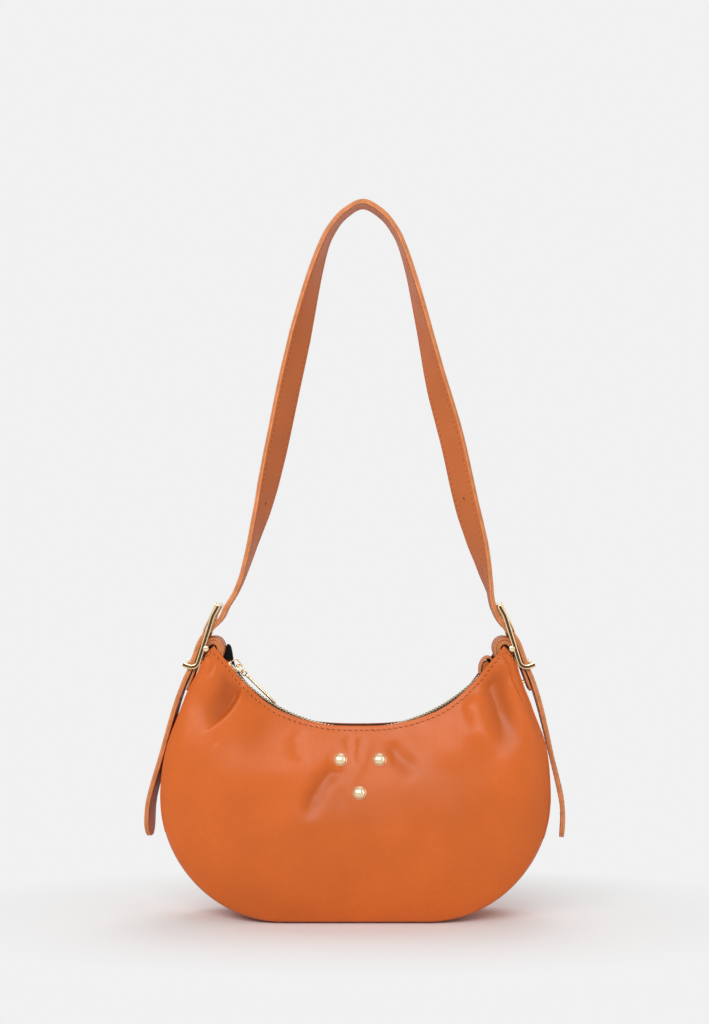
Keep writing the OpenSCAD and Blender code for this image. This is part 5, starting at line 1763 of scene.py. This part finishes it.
def strap_piece(name, path, twist, front_out, holes, slots, narrow, sewn_short):
    """Two sewn layers of strap leather along a path, as one mesh."""
    across, inward = band_frames(path, twist, front_out)
    strap = Batch()
    for depths in ((-STRAP_T / 2, -PLY_GAP), (PLY_GAP, STRAP_T / 2)):
        band_mesh(strap, path, across, inward, STRAP_W, depths, holes, slots, narrow)
    walked = walked_length(path)
    scale = np.ones(len(path)) if narrow is None else narrow
    inset = bpy.context.scene.bag_sizes.strap_inset / MM
    run = walked <= walked[-1] - sewn_short
    for u in (-1, 1):
        line = path + across * (u * (STRAP_W / 2 * scale - inset))[:, None]
        for face in (-1, 1):
            lifted = line + inward * face * STRAP_T / 2
            strap_stitches(strap, lifted[run], (inward * face)[run])
    piece = strap.piece(name, strap_finishes(), "strap_leather")
    return sharpen(piece, STRAP_CRISP)


class StrapArchOperator(bpy.types.Operator):
    """Builds the strap from buckle to buckle, with its holes and sewing"""

    bl_idname = "bag.strap_arch"
    bl_label = "Strap arch"

    def execute(self, context):
        right, left = thread_points(RIGHT, SPLIT_Y, FAR), thread_points(LEFT, SPLIT_Y, FAR)
        parts = [thinned(part, 3) for part in (right, arch_points()[2:-2], left[::-1])]
        path = smooth_path(np.concatenate(parts), 1.0)
        share = np.clip((path[:, 2] - ARCH_START_Z) / (ARCH_TOP - ARCH_START_Z), 0, 1)
        walked = walked_length(path)
        on_left = walked > walked[-1] / 2
        left_twist, right_twist = (np.interp(share, *zip(*shares)) for shares in (LEFT_TWIST, RIGHT_TWIST))
        twist = np.radians(np.where(on_left, left_twist, right_twist))
        # The legs hang a little to the right of the plain strap's
        z = path[:, 2]
        sideways = STRAP_SHIFT * np.where(on_left, 1, ramp((z - SHIFT_LOW) / SHIFT_RISE))
        path[:, 0] += sideways * (1 - ramp((z - SHIFT_HIGH) / SHIFT_FALL))
        below = walked_length(thread_points(RIGHT, PRONG_Y, SPLIT_Y))[-1]
        holes = [k * HOLE_PITCH - below for k in (1, 2)]
        holes += [walked_length(path)[-1] - h for h in holes]
        piece = strap_piece("strap_arch", path, twist, 1, holes, (), None, 0)
        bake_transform(piece)
        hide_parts("strap_outer_layer", "strap_inner_layer", "left_strap_bend", "right_strap_bend")
        return {"FINISHED"}


class StrapEndsOperator(bpy.types.Operator):
    """Builds the strap's threaded ends and the tails that hang free"""

    bl_idname = "bag.strap_ends"
    bl_label = "Strap ends and tails"

    def execute(self, context):
        for side, word in SIDES:
            thread, tail = thread_points(side, -FAR, SPLIT_Y), tail_points(side)
            path = smooth_path(np.concatenate([thinned(thread[::-1], 3), thinned(tail[2:-2], 3)]), 1.0)
            walked = walked_length(path)
            past = walked - walked_length(thread)[-1]
            turn, closer = TAILS[side]
            if side == LEFT:
                path[:, 0] += STRAP_SHIFT * ramp((path[:, 2] - BAR_Z - END_SHIFT_LOW) / END_SHIFT_RISE)
            inwards = ramp(past / TAIL_TOP_OVER) * TAIL_TOP_IN
            inwards = inwards + ramp((past - TAIL_LOW_FROM) / TAIL_LOW_OVER) * closer
            path[:, 0] -= side * inwards
            twist = math.radians(turn) * ramp(past / TAIL_TURN_OVER)
            # The tail's end is round
            end_share = np.clip((walked[-1] - walked) / TAIL_ROUND, TAIL_END_SHARE, 1)
            narrow = np.sqrt(np.clip(1 - (1 - end_share) ** 2, 0, 1))
            hole = walked_length(thread_points(side, PRONG_Y, SPLIT_Y))[-1]
            slots = ((hole - PRONG_SLOT_DOWN, hole + PRONG_SLOT_UP, PRONG_SLOT_HALF),)
            name = word + "_strap_tail_leather"
            piece = strap_piece(name, path, twist, -side, (), slots, narrow, TAIL_SEWN_SHORT)
            start, end = (at_buckle(side, TAIL_HINGE[0], y) * MM for y in (-16.0, -26.0))
            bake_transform(piece)
            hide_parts(word + "_strap_end", word + "_strap_tail")
        return {"FINISHED"}


# Panel and main


PIECES = (StageOperator, PanelsOperator, GussetOperator, MouthStitchingOperator, LiningOperator,
          ZipTapesOperator, ZipTeethOperator, ZipEndTabOperator, ZipPullOperator, StudsOperator,
          ChapesOperator, RivetsOperator, BuckleFramesOperator, ProngsOperator, StrapArchOperator,
          StrapEndsOperator)


class BagSidebarPanel(bpy.types.Panel):
    """Lists the bag's pieces, sizes and colours"""

    bl_idname = "VIEW3D_PT_shoulder_bag"
    bl_label = "Crescent shoulder bag"
    bl_space_type = "VIEW_3D"
    bl_region_type = "UI"
    bl_category = "Bag"

    def draw(self, context):
        for group in (context.scene.bag_sizes, context.scene.bag_colours):
            column = self.layout.column(align=True)
            for name in group.bl_rna.properties.keys():
                if name not in ("rna_type", "name"):
                    column.prop(group, name)
        column = self.layout.column(align=True)
        for operator in PIECES:
            column.operator(operator.bl_idname)


CLASSES = (BagColours, BagSizes, *PIECES, BagSidebarPanel)


def register():
    for cls in CLASSES:
        bpy.utils.register_class(cls)
    bpy.types.Scene.bag_colours = PointerProperty(type=BagColours)
    bpy.types.Scene.bag_sizes = PointerProperty(type=BagSizes)


def unregister():
    del bpy.types.Scene.bag_sizes
    del bpy.types.Scene.bag_colours
    for cls in reversed(CLASSES):
        bpy.utils.unregister_class(cls)


def main():
    register()
    for operator in PIECES:
        group, name = operator.bl_idname.split(".")
        getattr(getattr(bpy.ops, group), name)()


if __name__ == "__main__":
    main()
